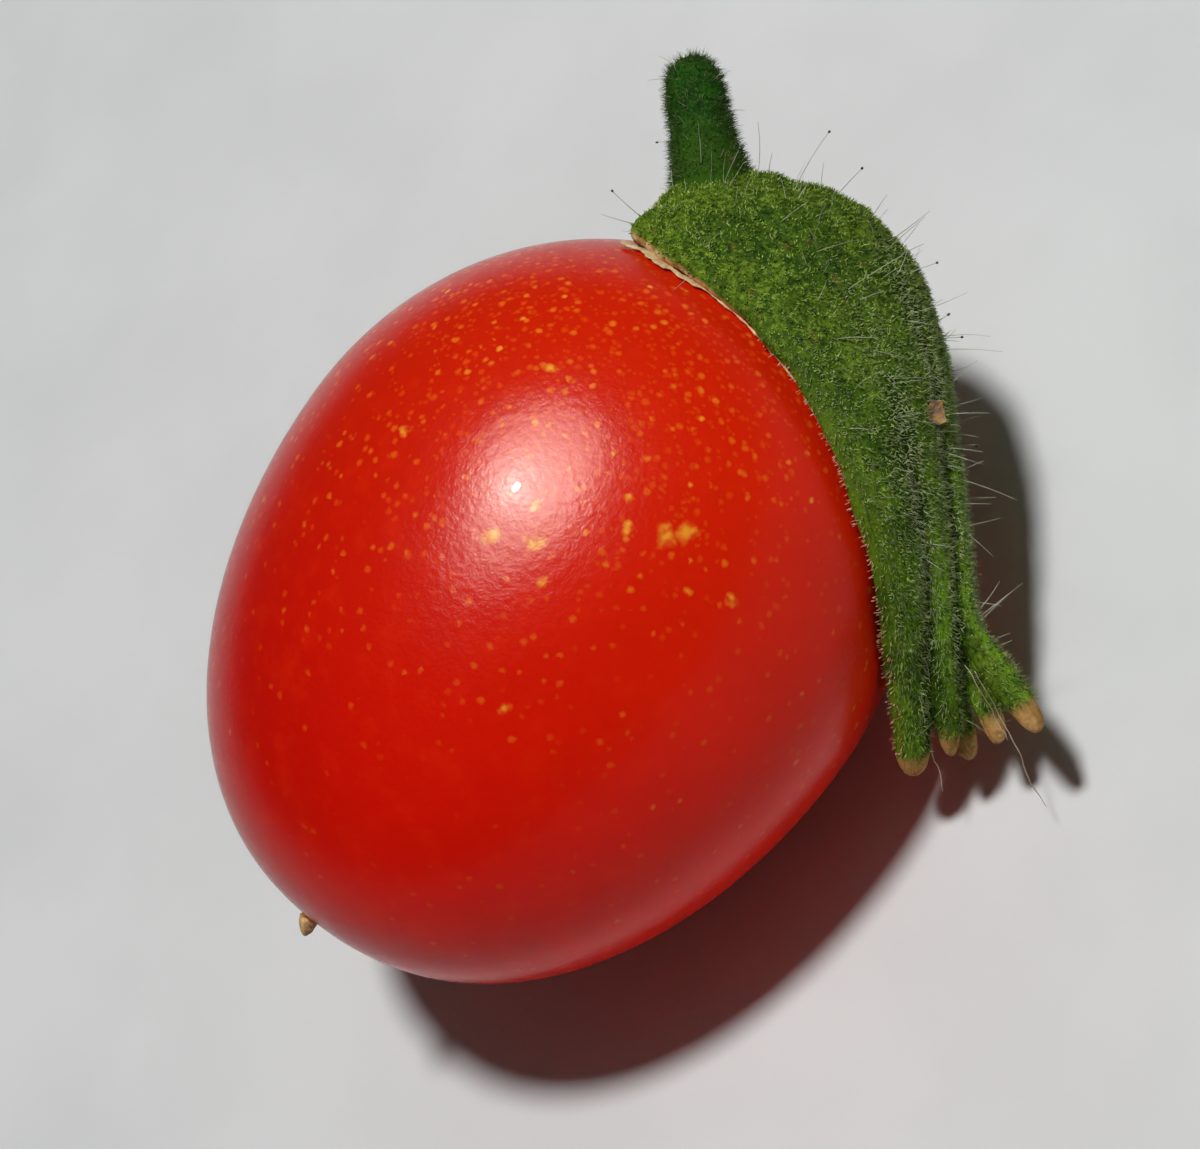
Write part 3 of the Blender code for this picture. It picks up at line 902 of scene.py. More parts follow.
class TOMATO_OT_margin(bpy.types.Operator):
    """Make the torn corky margin along the near rim of the calyx"""

    bl_idname = "tomato.margin"
    bl_label = "Corky margin"

    def execute(self, context):
        stations, sides = 260, 12
        path = catmull_rom(MARGIN, np.linspace(0, len(MARGIN) - 1, stations))
        share = np.linspace(0, 1, stations)
        upper = np.clip(1 - share / 0.5, 0, 1)
        inset = 0.1 - 0.24 * upper + 0.04 * sway(share * 43, 11)
        centre = from_hood(skin_point(path[:, 0] - inset, path[:, 1], 1, CALYX_GAP))
        along = unit(np.gradient(centre, axis=0))
        across = unit(np.cross(along, unit(egg_slope(centre, 0.0))))
        outward = np.cross(across, along)
        taper = nib_taper(stations, 0.5)
        width = (0.045 + 0.17 * upper**0.7) * (1 + 0.7 * sway(share * 37, 12, 3)) * taper
        width *= nib_taper(stations, 0.08)[::-1]
        depth = 0.05 * (1 + 0.5 * sway(share * 41, 13, 3)) * taper
        rings = rings_round(centre, across, -outward, width[:, None], depth[:, None], full_turn(sides))
        margin = put_mesh("calyx_margin", *closed_nib(rings, centre))
        return finish_piece(margin, make_cork_material(), "calyx_green")


# Stalk


def make_stalk_material():
    nodes = Finish("stalk_green", (0.05, 0.13, 0.022))
    mottle = nodes.noise(1100.0, 5.0, 0.65)
    grain = nodes.noise(5000.0, 3.0, 0.7)
    base = nodes.mix(nodes.step(mottle, 0.35, 0.68), (0.008, 0.038, 0.003), (0.019, 0.088, 0.004))
    base = nodes.over(base, grain, 0.5, 0.75, 0.5, (0.045, 0.11, 0.012))
    base = nodes.over(base, nodes.attribute("along"), 0.45, 0.2, 0.7, (0.035, 0.085, 0.004))
    rusty, _ = nodes.specks(1500.0, 0.2, 0.22, 0.25)
    base = nodes.mix(nodes.times(rusty, 0.5), base, (0.2, 0.1, 0.03))
    return nodes.done(base, nodes.step(grain, 0.3, 0.8, 0.8, 0.6), nodes.bump(grain, 0.8, 0.00008), 0.01)


class TOMATO_OT_stalk(bpy.types.Operator):
    """Make the stub of the stalk, with shallow ridges along it"""

    bl_idname = "tomato.stalk"
    bl_label = "Stalk"

    def execute(self, context):
        stations, sides = 120, 72
        places, radii = zip(*STALK_POINTS)
        share = np.linspace(0, 1, stations)
        positions = np.linspace(0, len(places) - 1, stations)
        centre = catmull_rom(from_hood(places), positions)
        along, first, second = path_frames(centre, np.array([0.0, 0.0, 1.0]))
        turn = full_turn(sides)
        ridges = 1 + 0.02 * np.cos(turn * 5 + 0.6) + 0.012 * sway(turn * 3, 21)
        bumps = 0.012 * sway(positions[:, None] * 4 + turn * 2, 22)
        spread = catmull_rom(radii, positions) * (ridges + bumps)
        rings = rings_round(centre, first, second, spread, spread, turn)
        attributes = {
            "grain": np.concatenate([np.repeat(along, sides, axis=0), along[:1], along[-1:]]),
            "along": np.concatenate([np.repeat(share, sides), [0.0, 1.0]]),
        }
        tip = centre[-1] + along[-1] * 0.05
        stalk = put_mesh("stalk_stub", *closed_tubes(rings[None], centre[None, 0], tip[None]), attributes)
        return finish_piece(stalk, make_stalk_material(), "stalk_green", "stalk")


# Hairs

# How deep the short and the long hairs are rooted, in millimetres
DOWN_ROOT = 0.03
HAIR_ROOT = 0.05
# The dark head of a long hair: the length that it takes up, its radius, and the share of the hairs with one
HEAD_LENGTH = 0.1
HEAD_RADIUS = 0.036
HEADED_SHARE = 0.12
# The share of the long hairs that is on the calyx, and the radius of those that are placed one by one
CALYX_SHARE = 0.85
SEEN_RADIUS = 0.015


def piece(name):
    """The mesh of a piece that an earlier button made."""
    obj = bpy.data.objects.get(name)
    if obj is None:
        raise RuntimeError(f"{name} has to be made first")
    return obj.data


def attribute_values(mesh, *names):
    """Attributes of a mesh's points, each with one number or one row for a point."""
    for name in names:
        attribute = mesh.attributes[name]
        if attribute.data_type == "FLOAT_VECTOR":
            yield read_array(attribute.data, "vector", 3).astype(float)
        else:
            yield read_array(attribute.data, "value", 1)[:, 0].astype(float)


def scattered(mesh, count, seed, chance):
    """Random places on a mesh's triangles, spread by area times chance: points, normals and attribute lookup.

    A place is a (1 - sqrt(r)) + b sqrt(r) (1 - s) + c sqrt(r) s of its triangle's corners a, b and c.
    """
    draw = seeded(seed)
    points, normals, triangles = mesh_arrays(mesh)
    points = points / MM
    a, b, c = (points[triangles[:, k]] for k in range(3))
    weight = np.linalg.norm(np.cross(b - a, c - a), axis=-1) / 2 * chance[triangles].mean(-1)
    chosen = draw.choice(len(triangles), count, p=weight / weight.sum())
    root, split = np.sqrt(draw.random(count)), draw.random(count)
    parts = np.stack([1 - root, root * (1 - split), root * split], -1)
    corners = triangles[chosen]

    def at(values):
        return np.einsum("ij,ij...->i...", parts, values[corners])

    return at(points), unit(at(normals)), at


def cones(name, roots, directions, lengths, radii, seed, shade, silver):
    """Straight three-sided closed hairs from just under the surface to a point."""
    first = square_to(unit(seeded(seed).normal(size=(len(roots), 3))), directions)
    base = roots - directions * DOWN_ROOT
    radii = radii[:, None]
    ring = rings_round(base, first, np.cross(directions, first), radii, radii, full_turn(3))
    tips = roots + directions * lengths[:, None]
    tubes = closed_tubes(ring[:, None], base - directions * 0.005, tips)
    share = np.tile([0.0, 0.0, 0.0, 0.0, 1.0], len(roots))
    return put_mesh(name, *tubes, dict(share=share, shade=np.repeat(shade, 5), silver=np.repeat(silver, 5)))


# Colours of the down, at its roots, at its tips and where it is pale, and how silvery it can get
CALYX_DOWN = ((0.024, 0.064, 0.003), (0.38, 0.54, 0.07), (0.5, 0.62, 0.2), 0.78)
STALK_DOWN = ((0.014, 0.045, 0.005), (0.15, 0.22, 0.07), (0.2, 0.27, 0.1), 0.0)


def make_down_material(name, root, tip, pale, silver):
    nodes = Finish(name, tip)
    shade = nodes.attribute("shade")
    base = nodes.mix(nodes.step(nodes.attribute("share"), 0.0, 0.7), root, tip)
    base = nodes.mix(nodes.times(shade, 0.8), base, root)
    clumps = nodes.noise(3300.0, 3.0, 0.6)
    base = nodes.over(base, clumps, 0.52, 0.42, 0.85, root)
    base = nodes.over(base, clumps, 0.55, 0.65, 0.6, pale)
    base = nodes.mix(nodes.times(nodes.attribute("silver"), silver), base, (0.56, 0.63, 0.36))
    return nodes.done(base, nodes.step(shade, 0.0, 1.0, 0.5, 0.7), specular=0.02)


def curved_hairs(name, roots, directions, bends, lengths, radii, gland):
    """Closed curved hairs, round in section: root + length (t direction + t^2 bend), radius r (1 - 0.6 t).

    The last four stations lie over the last 0.1 mm. There a hair with a gland swells to a round head.
    """
    count, stations, sides = len(roots), 9, 4
    head_share = HEAD_LENGTH / lengths[:, None]
    t = np.concatenate(
        [np.linspace(0, 1, stations - 4) * (1 - head_share), 1 - head_share * np.linspace(0.8, 0, 4)], axis=1
    )
    path = roots[:, None] - directions[:, None] * HAIR_ROOT + lengths[:, None, None] * (
        directions[:, None] * t[..., None] + bends[:, None] * (t**2)[..., None]
    )
    hint = np.cross(directions, bends) + np.array([1e-4, 2e-4, 3e-4])
    along, first, second = path_frames(path, unit(hint)[:, None])
    head = np.concatenate([np.zeros(stations - 4), [0.7, 1.0, 0.9, 0.45]])
    radius = (radii[:, None] * (1 - 0.6 * t) + gland[:, None] * head * HEAD_RADIUS)[..., None]
    rings = rings_round(path, first, second, radius, radius, full_turn(sides))
    share = np.tile(np.concatenate([np.repeat(np.linspace(0, 1, stations), sides), [0.0, 1.0]]), count)
    headed = np.tile(np.concatenate([np.repeat(head > 0.5, sides), [0, 1]]), count)
    dark = np.repeat(gland, stations * sides + 2) * headed
    tubes = closed_tubes(rings, path[:, 0] - along[:, 0] * 0.01, path[:, -1] + along[:, -1] * 0.01)
    return put_mesh(name, *tubes, {"share": share, "dark": dark})


def outside_chance(mesh):
    """1 on the calyx's outer faces, and 0 where it faces the fruit."""
    points, normals, _ = mesh_arrays(mesh)
    facing = (normals * unit(egg_slope(points / MM, 0.0))).sum(-1)
    (over,) = attribute_values(mesh, "over")
    return np.where((over < 0.3) & (facing < 0.3), 0.0, 1.0) * np.clip(0.5 + facing, 0.02, 1.0)


class TOMATO_OT_down(bpy.types.Operator):
    """Grow the short pale down of the calyx and the stalk"""

    bl_idname = "tomato.down"
    bl_label = "Down"

    def execute(self, context):
        settings = context.scene.tomato_hairs
        usual = settings.down_length / MM
        mesh = piece("calyx_hood")
        along, across, rim, grain = attribute_values(mesh, "along", "across", "rim", "grain")
        seams = np.clip((np.abs(across) - 0.6) / 0.3, 0, 1) * np.clip((along - 0.4) / 0.3, 0, 1)
        bare = np.interp(along, (0.3, 0.6), (1.0, 1.6)) - 1.2 * seams - 0.2 * rim * (1 - seams)
        chance = outside_chance(mesh) * np.where(along > DRY_TIP, 0.03, 1.0) * bare
        roots, facing, at = scattered(mesh, settings.down_count, 1, chance)
        draw = seeded(2)
        count = len(roots)
        lean = draw.normal(0.25, 0.35, count)[:, None]
        directions = unit(facing + at(grain) * lean + draw.normal(0, 0.34, (count, 3)))
        lower = np.interp(at(along), (0.3, 0.75), (0.0, 1.0))
        lengths = usual * (0.65 + 0.5 * lower) * draw.uniform(0.5, 1.5, count)
        radii = draw.uniform(0.016, 0.04, count) * (1 - 0.35 * lower)
        silver = np.interp(at(along), (0.3, 0.55, 0.75, 0.93), (0.0, 1.0, 0.9, 0.35))
        silver *= np.clip(np.abs(at(across)) * 1.3, 0.3, 1) * (1 - 0.75 * at(rim))
        shade = draw.random(count) * (1 - 0.45 * lower)
        down = cones("calyx_down", roots, directions, lengths, radii, 3, shade, silver)
        finish_piece(down, make_down_material("down", *CALYX_DOWN), "calyx_green")
        mesh = piece("stalk_stub")
        (along,) = attribute_values(mesh, "along")
        chance = np.where(along > 0.12, 1.0, 0.0)
        roots, facing, _ = scattered(mesh, settings.stalk_down_count, 4, chance)
        draw = seeded(5)
        count = len(roots)
        directions = unit(facing + draw.normal(0, 0.35, (count, 3)))
        lengths = usual * draw.uniform(0.5, 1.7, count)
        radii = draw.uniform(0.008, 0.016, count)
        shade = draw.random(count) ** 0.7
        down = cones("stalk_down", roots, directions, lengths, radii, 6, shade, np.zeros(count))
        return finish_piece(down, make_down_material("stalk_down", *STALK_DOWN), "stalk_green")


# The long hairs that can be told apart: root and tip, each (x, up, out) in millimetres, the sideways bend as
# a share of the length, and 1 for a dark head
SEEN_HAIRS = (
    (10.28, 5.13, 1.11, 10.4, 6.39, 1.61, 0.06, 1), (10.08, 5.06, 0.99, 9.6, 6.19, 1.39, 0.05, 0),
    (12.49, 3.63, 2.58, 13.72, 3.84, 3.08, 0.03, 1), (13.46, 2.98, 2.33, 14.74, 3.89, 2.63, -0.15, 0),
    (14.01, 1.86, 2.53, 15.82, 1.91, 2.83, 0.12, 1), (14.44, 1.19, 2.19, 14.98, 1.52, 2.39, 0.03, 0),
    (14.69, 0.55, 2.0, 15.57, 0.41, 2.3, 0.02, 1), (14.49, -0.71, 2.82, 15.23, -0.68, 3.12, 0.05, 0),
    (14.19, -1.66, 3.17, 15.53, -2.05, 3.57, -0.06, 0), (13.89, -1.69, 3.61, 15.21, -2.03, 4.21, 0.04, 0),
    (14.15, -2.14, 2.91, 14.65, -2.51, 3.21, 0.03, 0), (13.83, -2.78, 3.05, 14.43, -3.21, 3.45, 0.02, 1),
    (13.05, -3.71, 3.64, 14.14, -4.45, 3.94, -0.1, 0), (12.7, -4.65, 2.9, 13.54, -5.86, 3.3, 0.22, 0),
    (12.48, -4.97, 2.81, 13.39, -6.44, 3.21, 0.1, 0), (12.74, -4.73, 2.63, 13.06, -5.21, 3.03, -0.05, 1),
    (10.88, -6.27, 3.37, 11.59, -7.22, 3.77, 0.05, 0), (9.86, -6.88, 3.96, 10.13, -7.95, 4.36, -0.03, 0),
    (9.96, -6.81, 3.92, 10.43, -7.69, 4.42, 0.06, 0), (9.48, -7.73, 3.27, 9.91, -9.44, 3.77, 0.06, 0),
    (8.88, -8.23, 3.42, 9.35, -8.87, 3.72, 0.05, 0), (8.34, -8.64, 3.59, 9.15, -9.33, 3.99, -0.05, 0),
    (8.17, -8.76, 3.65, 8.06, -9.86, 3.95, 0.04, 0), (6.41, -10.67, 3.7, 7.96, -11.02, 4.3, 0.02, 0),
    (6.39, -10.74, 3.66, 7.71, -10.93, 4.36, 0.06, 0), (6.49, -10.56, 3.64, 7.61, -10.44, 4.04, -0.1, 0),
    (6.64, -10.29, 3.65, 7.01, -10.96, 4.05, 0.12, 0), (5.98, -11.57, 3.86, 6.35, -11.81, 4.16, 0.02, 0),
    (12.4, 1.4, 4.3, 13.41, 1.12, 4.8, 0.12, 0), (12.24, 0.0, 4.89, 13.21, -0.71, 5.39, 0.05, 0),
    (12.73, -1.71, 4.79, 13.78, -2.17, 5.29, 0.05, 0), (11.93, -1.4, 5.3, 12.68, -1.73, 5.8, 0.04, 0),
    (12.67, 4.54, 1.96, 13.66, 5.4, 2.46, -0.05, 0), (12.42, 2.85, 3.42, 13.08, 3.0, 3.92, 0.05, 0),
    (12.06, 2.89, 3.64, 12.63, 3.18, 4.04, -0.05, 0), (10.32, -1.95, 6.11, 11.17, -3.06, 6.61, 0.14, 0),
    (10.86, -3.11, 5.77, 11.16, -4.03, 6.27, 0.05, 0), (10.37, -3.98, 5.84, 11.0, -4.8, 6.34, 0.03, 0),
    (10.29, -4.11, 5.85, 10.92, -4.8, 6.25, 0.05, 0), (9.61, -4.86, 5.92, 10.15, -5.43, 6.32, 0.04, 0),
    (8.0, -6.38, 5.84, 8.38, -7.17, 6.34, 0.03, 0), (7.39, -5.92, 6.44, 7.63, -6.31, 6.74, 0.03, 0),
    (8.28, -5.69, 6.17, 8.46, -6.23, 6.57, 0.05, 0), (10.06, -6.12, 4.64, 10.42, -6.64, 5.04, 0.03, 0),
    (11.84, -1.9, 5.37, 12.49, -2.33, 5.77, 0.05, 0), (11.96, -3.54, 4.92, 12.4, -3.93, 5.32, 0.04, 0),
    (7.45, -7.15, 5.55, 7.59, -7.76, 5.95, 0.04, 0), (6.73, -8.21, 5.08, 6.72, -8.81, 5.48, 0.04, 0),
)


def make_hair_material():
    def with_heads(nodes, base):
        base = nodes.over(base, nodes.attribute("share"), 0.6, 1.0, 0.35, (0.3, 0.27, 0.2))
        return nodes.mix(nodes.attribute("dark"), base, (0.05, 0.035, 0.03))

    return make_patchy(
        "long_hair", (0.5, 0.45, 0.33), (700.0, 2.0), (0.35, 0.65), (0.26, 0.27, 0.17), (0.5, 0.5, 0.38),
        (0.3, 0.7, 0.35, 0.5), specular=0.06, detail=with_heads,
    )


class TOMATO_OT_long_hairs(bpy.types.Operator):
    """Grow the long curved hairs, some with a dark round head"""

    bl_idname = "tomato.long_hairs"
    bl_label = "Long hairs"

    def execute(self, context):
        settings = context.scene.tomato_hairs
        hood, stalk = piece("calyx_hood"), piece("stalk_stub")
        (along,), (up_stalk,) = attribute_values(hood, "along"), attribute_values(stalk, "along")
        chance = outside_chance(hood) * np.where(along > 0.9, 0.1, 1.2 - 0.6 * along)
        on_calyx = int(settings.long_count * CALYX_SHARE)
        first = scattered(hood, on_calyx, 7, chance)
        chance = np.where(up_stalk > 0.15, 1.0, 0.0)
        second = scattered(stalk, settings.long_count - on_calyx, 8, chance)
        roots, facing = (np.concatenate([first[k], second[k]]) for k in range(2))
        draw = seeded(9)
        count = len(roots)
        directions = unit(facing + draw.normal(0, 0.3, (count, 3)))
        side = square_to(draw.normal(size=(count, 3)), directions)
        bends = side * draw.uniform(0.05, 0.45, count)[:, None]
        shorter = np.where(np.arange(count) < on_calyx, 1.0, 0.6)
        lengths = settings.long_length / MM * shorter * draw.uniform(0.4, 1.3, count)
        radii = draw.uniform(0.01, 0.017, count)
        gland = (draw.random(count) < HEADED_SHARE) * 1.0
        seen = np.array(SEEN_HAIRS)
        surface = np.concatenate([mesh_arrays(hood)[0], mesh_arrays(stalk)[0]]) / MM
        wanted, end = from_hood(seen[:, :3]), from_hood(seen[:, 3:6])
        away = (wanted**2).sum(-1)[:, None] - 2 * wanted @ surface.T + (surface**2).sum(-1)
        start = surface[away.argmin(-1)]
        span = np.linalg.norm(end - start, axis=-1)
        bend = unit(np.cross(end - start, turn_to_world((0, 0, 1)))) * seen[:, 6:7]
        hairs = curved_hairs(
            "long_hairs",
            np.concatenate([roots, start]),
            np.concatenate([directions, (end - start) / span[:, None] - bend]),
            np.concatenate([bends, bend]),
            np.concatenate([lengths, span]),
            np.concatenate([radii, np.full(len(seen), SEEN_RADIUS)]),
            np.concatenate([gland, seen[:, 7]]),
        )
        return finish_piece(hairs, make_hair_material(), "calyx_green")


def make_rim_hair_material():
    def with_roots(nodes, base):
        return nodes.mix(nodes.step(nodes.attribute("share"), 0.0, 0.5), (0.3, 0.22, 0.06), base)

    return make_patchy(
        "rim_hair", (0.75, 0.5, 0.4), (900.0, 2.0), (0.35, 0.65), (0.38, 0.18, 0.08), (0.62, 0.34, 0.24),
        (0.3, 0.7, 0.35, 0.5), specular=0.06, detail=with_roots,
    )


class TOMATO_OT_rim_hairs(bpy.types.Operator):
    """Grow the short pinkish hairs that stand out from the near rim over the skin"""

    bl_idname = "tomato.rim_hairs"
    bl_label = "Rim hairs"

    def execute(self, context):
        mesh = piece("calyx_hood")
        across, along, sepal, over = attribute_values(mesh, "across", "along", "sepal", "over")
        towards = turn_to_world((-0.8, 0.2, 0.1))
        edge = np.clip(((mesh_arrays(mesh)[1] * unit(towards)).sum(-1) - 0.55) / 0.3, 0, 1)
        chance = np.where((sepal == 0) & (across < -0.4) & (along > 0.2), edge, 0)
        chance *= np.where((over > 0.12) & (along < 0.94), 1, 0) * np.clip((along - 0.3) / 0.25, 0, 1)
        roots, facing, _ = scattered(mesh, context.scene.tomato_hairs.rim_count, 12, chance)
        draw = seeded(13)
        count = len(roots)
        directions = unit(facing + draw.normal(0, 0.25, (count, 3)))
        lengths = draw.uniform(0.13, 0.24, count)
        radii = draw.uniform(0.01, 0.015, count)
        gland = draw.uniform(0.0, 0.5, count)
        hairs = curved_hairs("rim_hairs", roots, directions, directions * 0.01, lengths, radii, gland)
        return finish_piece(hairs, make_rim_hair_material(), "calyx_green")


# Fleck and loose fibres, (x, up, out) in millimetres

FIBRES = (
    ((4.9, -11.5, 3.6), (4.29, -12.93, 3.3), (3.68, -14.16, 2.9), (3.19, -15.03, 2.5), (2.92, -15.92, 2.0)),
    ((2.3, -11.9, 1.7), (2.0, -12.35, 1.6), (1.79, -12.64, 1.5), (1.55, -12.9, 1.4), (1.4, -13.18, 1.3)),
    ((4.9, -11.1, 3.7), (4.5, -12.0, 3.75), (4.2, -12.7, 3.6), (3.95, -13.3, 3.4), (3.8, -13.6, 3.3)),
)
FLECK_PLACE = (10.49, -5.87, 4.51)
FLECK_RADIUS = 0.37


class TOMATO_OT_loose(bpy.types.Operator):
    """Make the dry fleck stuck to the calyx and the loose fibres at its lobes"""

    bl_idname = "tomato.loose"
    bl_label = "Fleck and fibres"

    def execute(self, context):
        points, normals, _ = mesh_arrays(piece("calyx_hood"))
        nearest = ((points / MM - from_hood(FLECK_PLACE)) ** 2).sum(-1).argmin()
        centre, facing = points[nearest] / MM, unit(normals[nearest] + 1.5 * turn_to_world((0.0, 0.0, 1.0)))
        first = unit(np.cross(facing, [0.3, 0.5, 0.8]))
        level = np.linspace(0, np.pi, 16)[1:-1, None]
        turn = full_turn(40)
        uneven_edge = 1 + 0.1 * np.cos(turn * 3 + 1.0) + 0.15 * sway(turn, 61) + 0.07 * np.cos(turn * 7)
        reach = np.sin(level) * FLECK_RADIUS * uneven_edge
        lift = 0.16 + 0.045 * np.cos(level) + 0.9 * reach**2 + 0.05 * np.sin(turn * 2 + 0.5) * np.sin(level)
        shape = rings_round(centre, first, np.cross(facing, first), reach, reach, turn)
        shape = shape + lift[..., None] * facing
        poles = centre + facing * np.array([[0.21], [0.11]])
        fleck = put_mesh("dry_fleck", *closed_tubes(shape[None, :, ::-1], poles[None, 0], poles[None, 1]))
        material = make_patchy(
            "dry_fleck", (0.4, 0.18, 0.05), (3000.0, 4.0, 0.7), (0.4, 0.62), (0.11, 0.035, 0.005),
            (0.44, 0.19, 0.02), (0.3, 0.7, 0.8, 0.55), (0.9, 0.00008),
        )
        finish_piece(fleck, material, "calyx_green")
        stations = 60
        share = np.linspace(0, 1, stations)
        radius = 0.013 * nib_taper(stations, 0.3)[:, None] + 0.003
        rings, ends = [], []
        for number, fibre in enumerate(FIBRES):
            path = catmull_rom(fibre, np.linspace(0, len(fibre) - 1, stations))
            path = path + 0.05 * np.stack([sway(share * 9, 70 + number * 3 + axis) for axis in range(3)], -1)
            centre = from_hood(path)
            _, across, up = path_frames(centre, np.array([0.1, 0.2, 1.0]))
            rings.append(rings_round(centre, across, up, radius, radius, full_turn(6)))
            ends.append(centre[[0, -1]])
        starts, ends = np.swapaxes(ends, 0, 1)
        fibres = put_mesh("loose_fibres", *closed_tubes(np.array(rings), starts, ends))
        material = make_patchy(
            "loose_fibre", (0.4, 0.3, 0.22), (900.0, 2.0), (0.35, 0.65), (0.25, 0.15, 0.1), (0.5, 0.38, 0.28),
            (0.3, 0.7, 0.4, 0.6),
        )
        return finish_piece(fibres, material, "calyx_green")


# Style

STYLE_RISE = 0.84
STYLE_LENGTH = 0.56
STYLE_BEND = 0.2
STYLE_DROOP = math.radians(20)


class TOMATO_OT_style(bpy.types.Operator):
    """Make the dry bent end of the style at the blossom end"""

    bl_idname = "tomato.style"
    bl_label = "Style"

    def execute(self, context):
        stations, sides = 30, 24
        t = np.linspace(0, 1, stations)
        cos, sin = math.cos(STYLE_DROOP), math.sin(STYLE_DROOP)
        straight, bend = np.array([[-cos, 0, -sin], [-sin, 0, cos]])
        root = np.array([-BLOSSOM_LENGTH - 0.02, 0, AXIS_HEIGHT + STYLE_RISE])
        centre = root + straight * (t * STYLE_LENGTH)[:, None] - bend * (t**2 * STYLE_BEND)[:, None]
        _, first, second = path_frames(centre, np.array([0.0, 1.0, 0.0]))
        turn = full_turn(sides)
        folds = 1 + 0.12 * np.cos(turn * 3) + 0.1 * sway(turn * 2 + t[:, None] * 6, 31)
        reach = (0.34 - 0.2 * t)[:, None] * folds * nib_taper(stations, 0.2)[:, None]
        rings = rings_round(centre, first, second, reach, reach, turn)
        style = put_mesh("style_nib", *closed_nib(rings, centre))
        material = make_patchy(
            "dry_style", (0.27, 0.13, 0.04), (3800.0, 4.0, 0.7), (0.35, 0.65), (0.2, 0.07, 0.015),
            (0.7, 0.42, 0.14), (0.3, 0.7, 0.8, 0.6), (0.8, 0.00006),
        )
        return finish_piece(style, material, "dry_style", "style")


# Stage

FLOOR_HALF = 900.0
LAMP_DISTANCE = 0.4
GLOSS_TINT = (0.8, 1.0, 0.9)
ROOM_COLOUR = (1.0, 0.93, 0.87, 1.0)
SHADED_FLOOR = 0.93
# Lamps that only show in gloss: name, direction from the fruit, size in metres, share of the lamp power
GLOSS_LAMPS = (
    ("gloss_lamp_near_the_stalk", (0.33, -0.074, 0.941), 0.285, 1.75),
    ("gloss_lamp_near_the_style", (0.145, -0.163, 0.976), 0.255, 1.12),
    ("wide_gloss_lamp", (0.25, -0.151, 0.956), 0.427, 0.4),
    ("glint_lamp", (0.181, -0.066, 0.981), 0.014, 0.3),
)


def make_floor_material(settings):
    nodes = Finish("floor", settings.floor)
    soft = nodes.noise(90.0, 3.0)
    shaded = tuple(value * SHADED_FLOOR for value in settings.floor)
    base = nodes.mix(nodes.step(soft, 0.3, 0.7), shaded, settings.floor)
    return nodes.done(base, nodes.step(soft, 0.2, 0.8, 0.7, 0.85), specular=0.06)


def add_lamp(name, towards, size, power, target):
    """A round area lamp over the target, in this direction and facing it."""
    light = bpy.data.lights.new(name, "AREA")
    light.shape = "DISK"
    light.size = size
    light.energy = power
    lamp = bpy.data.objects.new(name, light)
    away = unit(np.array(towards, float))
    lamp.location = target + away * LAMP_DISTANCE
    lamp.rotation_euler = Vector(away).to_track_quat("Z", "Y").to_euler()
    bpy.context.scene.collection.objects.link(lamp)
    return lamp


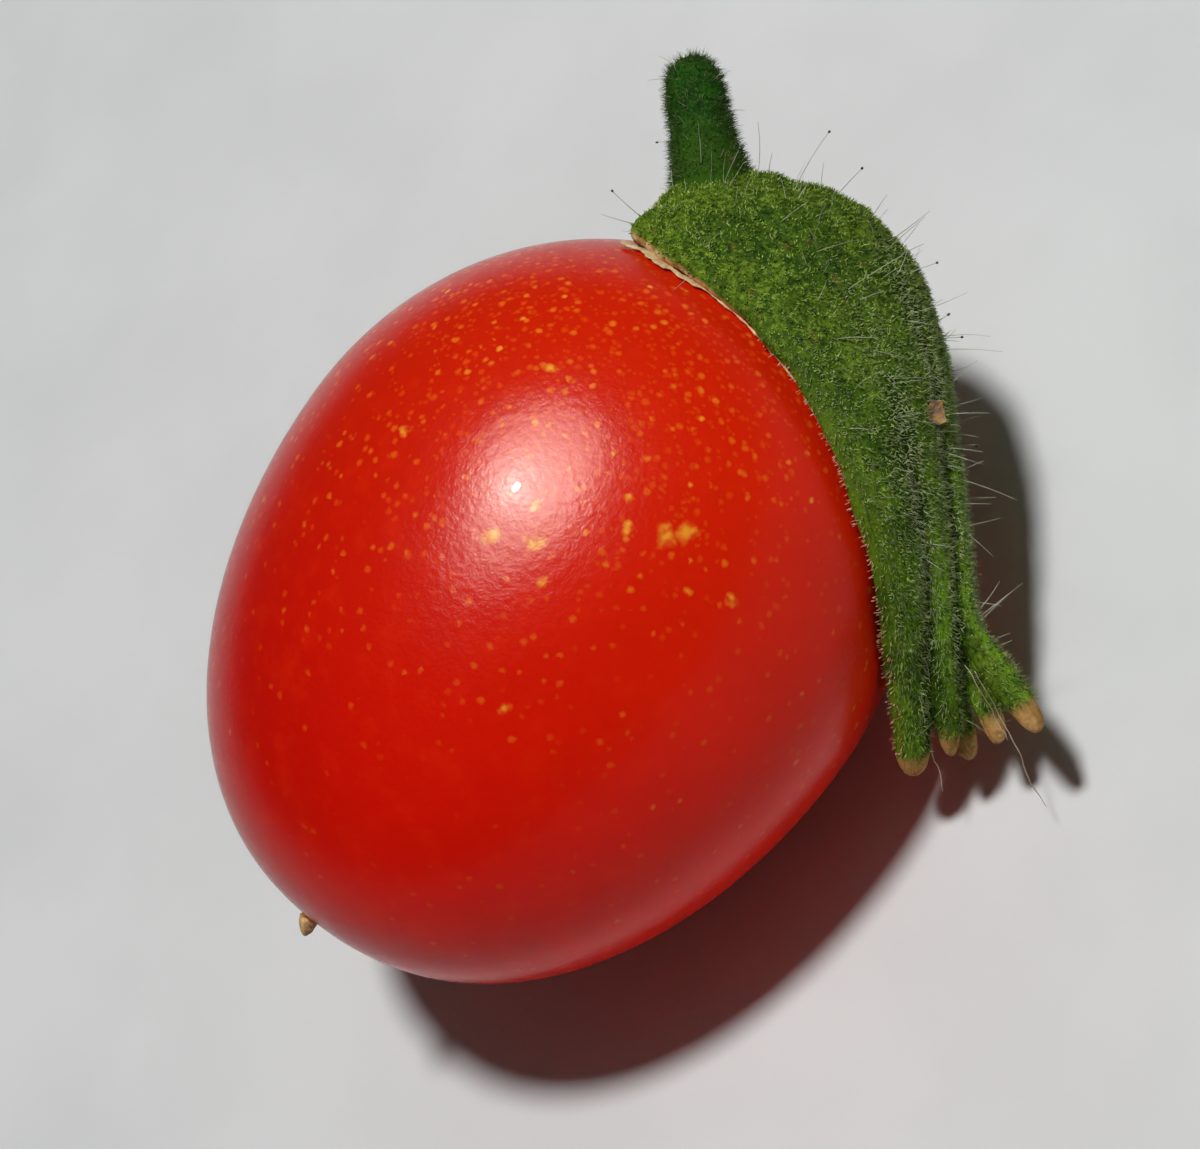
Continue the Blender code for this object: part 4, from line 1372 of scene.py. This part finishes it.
class TOMATO_OT_stage(bpy.types.Operator):
    """Set up the floor, the lights and the camera of the photograph"""

    bl_idname = "tomato.stage"
    bl_label = "Stage"

    def execute(self, context):
        scene = context.scene
        settings = scene.tomato_stage
        corners = np.linspace(-FLOOR_HALF, FLOOR_HALF, 3)
        grid = np.stack(np.meshgrid(corners, corners, indexing="ij"), -1).reshape(-1, 2)
        points = np.column_stack([grid, np.zeros(len(grid))])
        quads = np.array([0, 1, 3, 4])[:, None] + np.array([0, 3, 4, 1])
        floor = put_mesh("floor", points, quads, NO_TRIANGLES)
        floor.data.materials.append(make_floor_material(settings))
        floor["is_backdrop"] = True
        middle = np.array([0, 0, AXIS_HEIGHT * MM])
        power = settings.lamp_power
        add_lamp("soft_lamp", (0.15, -0.08, 0.98), 0.05, power, middle).visible_glossy = False
        for name, towards, size, share in GLOSS_LAMPS:
            lamp = add_lamp(name, towards, size, power * share * settings.gloss, middle)
            lamp.visible_diffuse = False
            lamp.data.color = GLOSS_TINT
        world = bpy.data.worlds.new("pale_room")
        world.use_nodes = True
        background = world.node_tree.nodes["Background"]
        background.inputs["Color"].default_value = ROOM_COLOUR
        background.inputs["Strength"].default_value = settings.fill
        scene.world = world
        right = np.array([1.0, 0, 0])
        view = np.array([0, math.cos(CAMERA_ELEVATION), -math.sin(CAMERA_ELEVATION)])
        up = np.cross(right, view)
        cos, sin = math.cos(CAMERA_ROLL), math.sin(CAMERA_ROLL)
        target = middle + right * LOOK_RIGHT - up * LOOK_DOWN
        place = np.eye(4)
        place[:3] = np.column_stack(
            [right * cos - up * sin, right * sin + up * cos, -view, target - view * CAMERA_DISTANCE]
        )
        data = bpy.data.cameras.new("photo_camera")
        data.sensor_width = SENSOR_WIDTH
        data.lens = SENSOR_WIDTH * CAMERA_DISTANCE / (PHOTO_WIDTH * PHOTO_SCALE)
        data.clip_start = 0.001
        camera = bpy.data.objects.new("photo_camera", data)
        scene.collection.objects.link(camera)
        camera.matrix_world = Matrix(place.tolist())
        scene.camera = camera
        scene.view_settings.view_transform = "Standard"
        scene.view_settings.look = "None"
        return {"FINISHED"}


class TOMATO_PT_looks(bpy.types.Panel):
    """Buttons and settings of the tomato's looks"""

    bl_idname = "TOMATO_PT_looks"
    bl_label = "Cherry tomato"
    bl_space_type = "VIEW_3D"
    bl_region_type = "UI"
    bl_category = "Tomato"

    def draw(self, context):
        column = self.layout.column()
        for operator in OPERATORS:
            column.operator(operator.bl_idname)
        for name, kind in SETTINGS.items():
            for key in kind.__annotations__:
                column.prop(getattr(context.scene, name), key)


SETTINGS = {
    "tomato_fruit": TomatoFruitSettings,
    "tomato_calyx": TomatoCalyxSettings,
    "tomato_hairs": TomatoHairSettings,
    "tomato_stage": TomatoStageSettings,
}
OPERATORS = (
    TOMATO_OT_fruit, TOMATO_OT_calyx, TOMATO_OT_margin, TOMATO_OT_stalk, TOMATO_OT_down, TOMATO_OT_long_hairs,
    TOMATO_OT_rim_hairs, TOMATO_OT_loose, TOMATO_OT_style, TOMATO_OT_stage,
)
CLASSES = (*SETTINGS.values(), *OPERATORS, TOMATO_PT_looks)


def register():
    for kind in CLASSES:
        bpy.utils.register_class(kind)
    for name, kind in SETTINGS.items():
        setattr(bpy.types.Scene, name, PointerProperty(type=kind))


def unregister():
    for name in SETTINGS:
        delattr(bpy.types.Scene, name)
    for kind in reversed(CLASSES):
        bpy.utils.unregister_class(kind)


def main():
    register()
    for operator in OPERATORS:
        group, name = operator.bl_idname.split(".")
        getattr(getattr(bpy.ops, group), name)()
    sizes = {"cad": CAD_BOX, "visual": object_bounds()}
    {key: [list(corner) for corner in box] for key, box in sizes.items()}


if __name__ == "__main__":
    main()
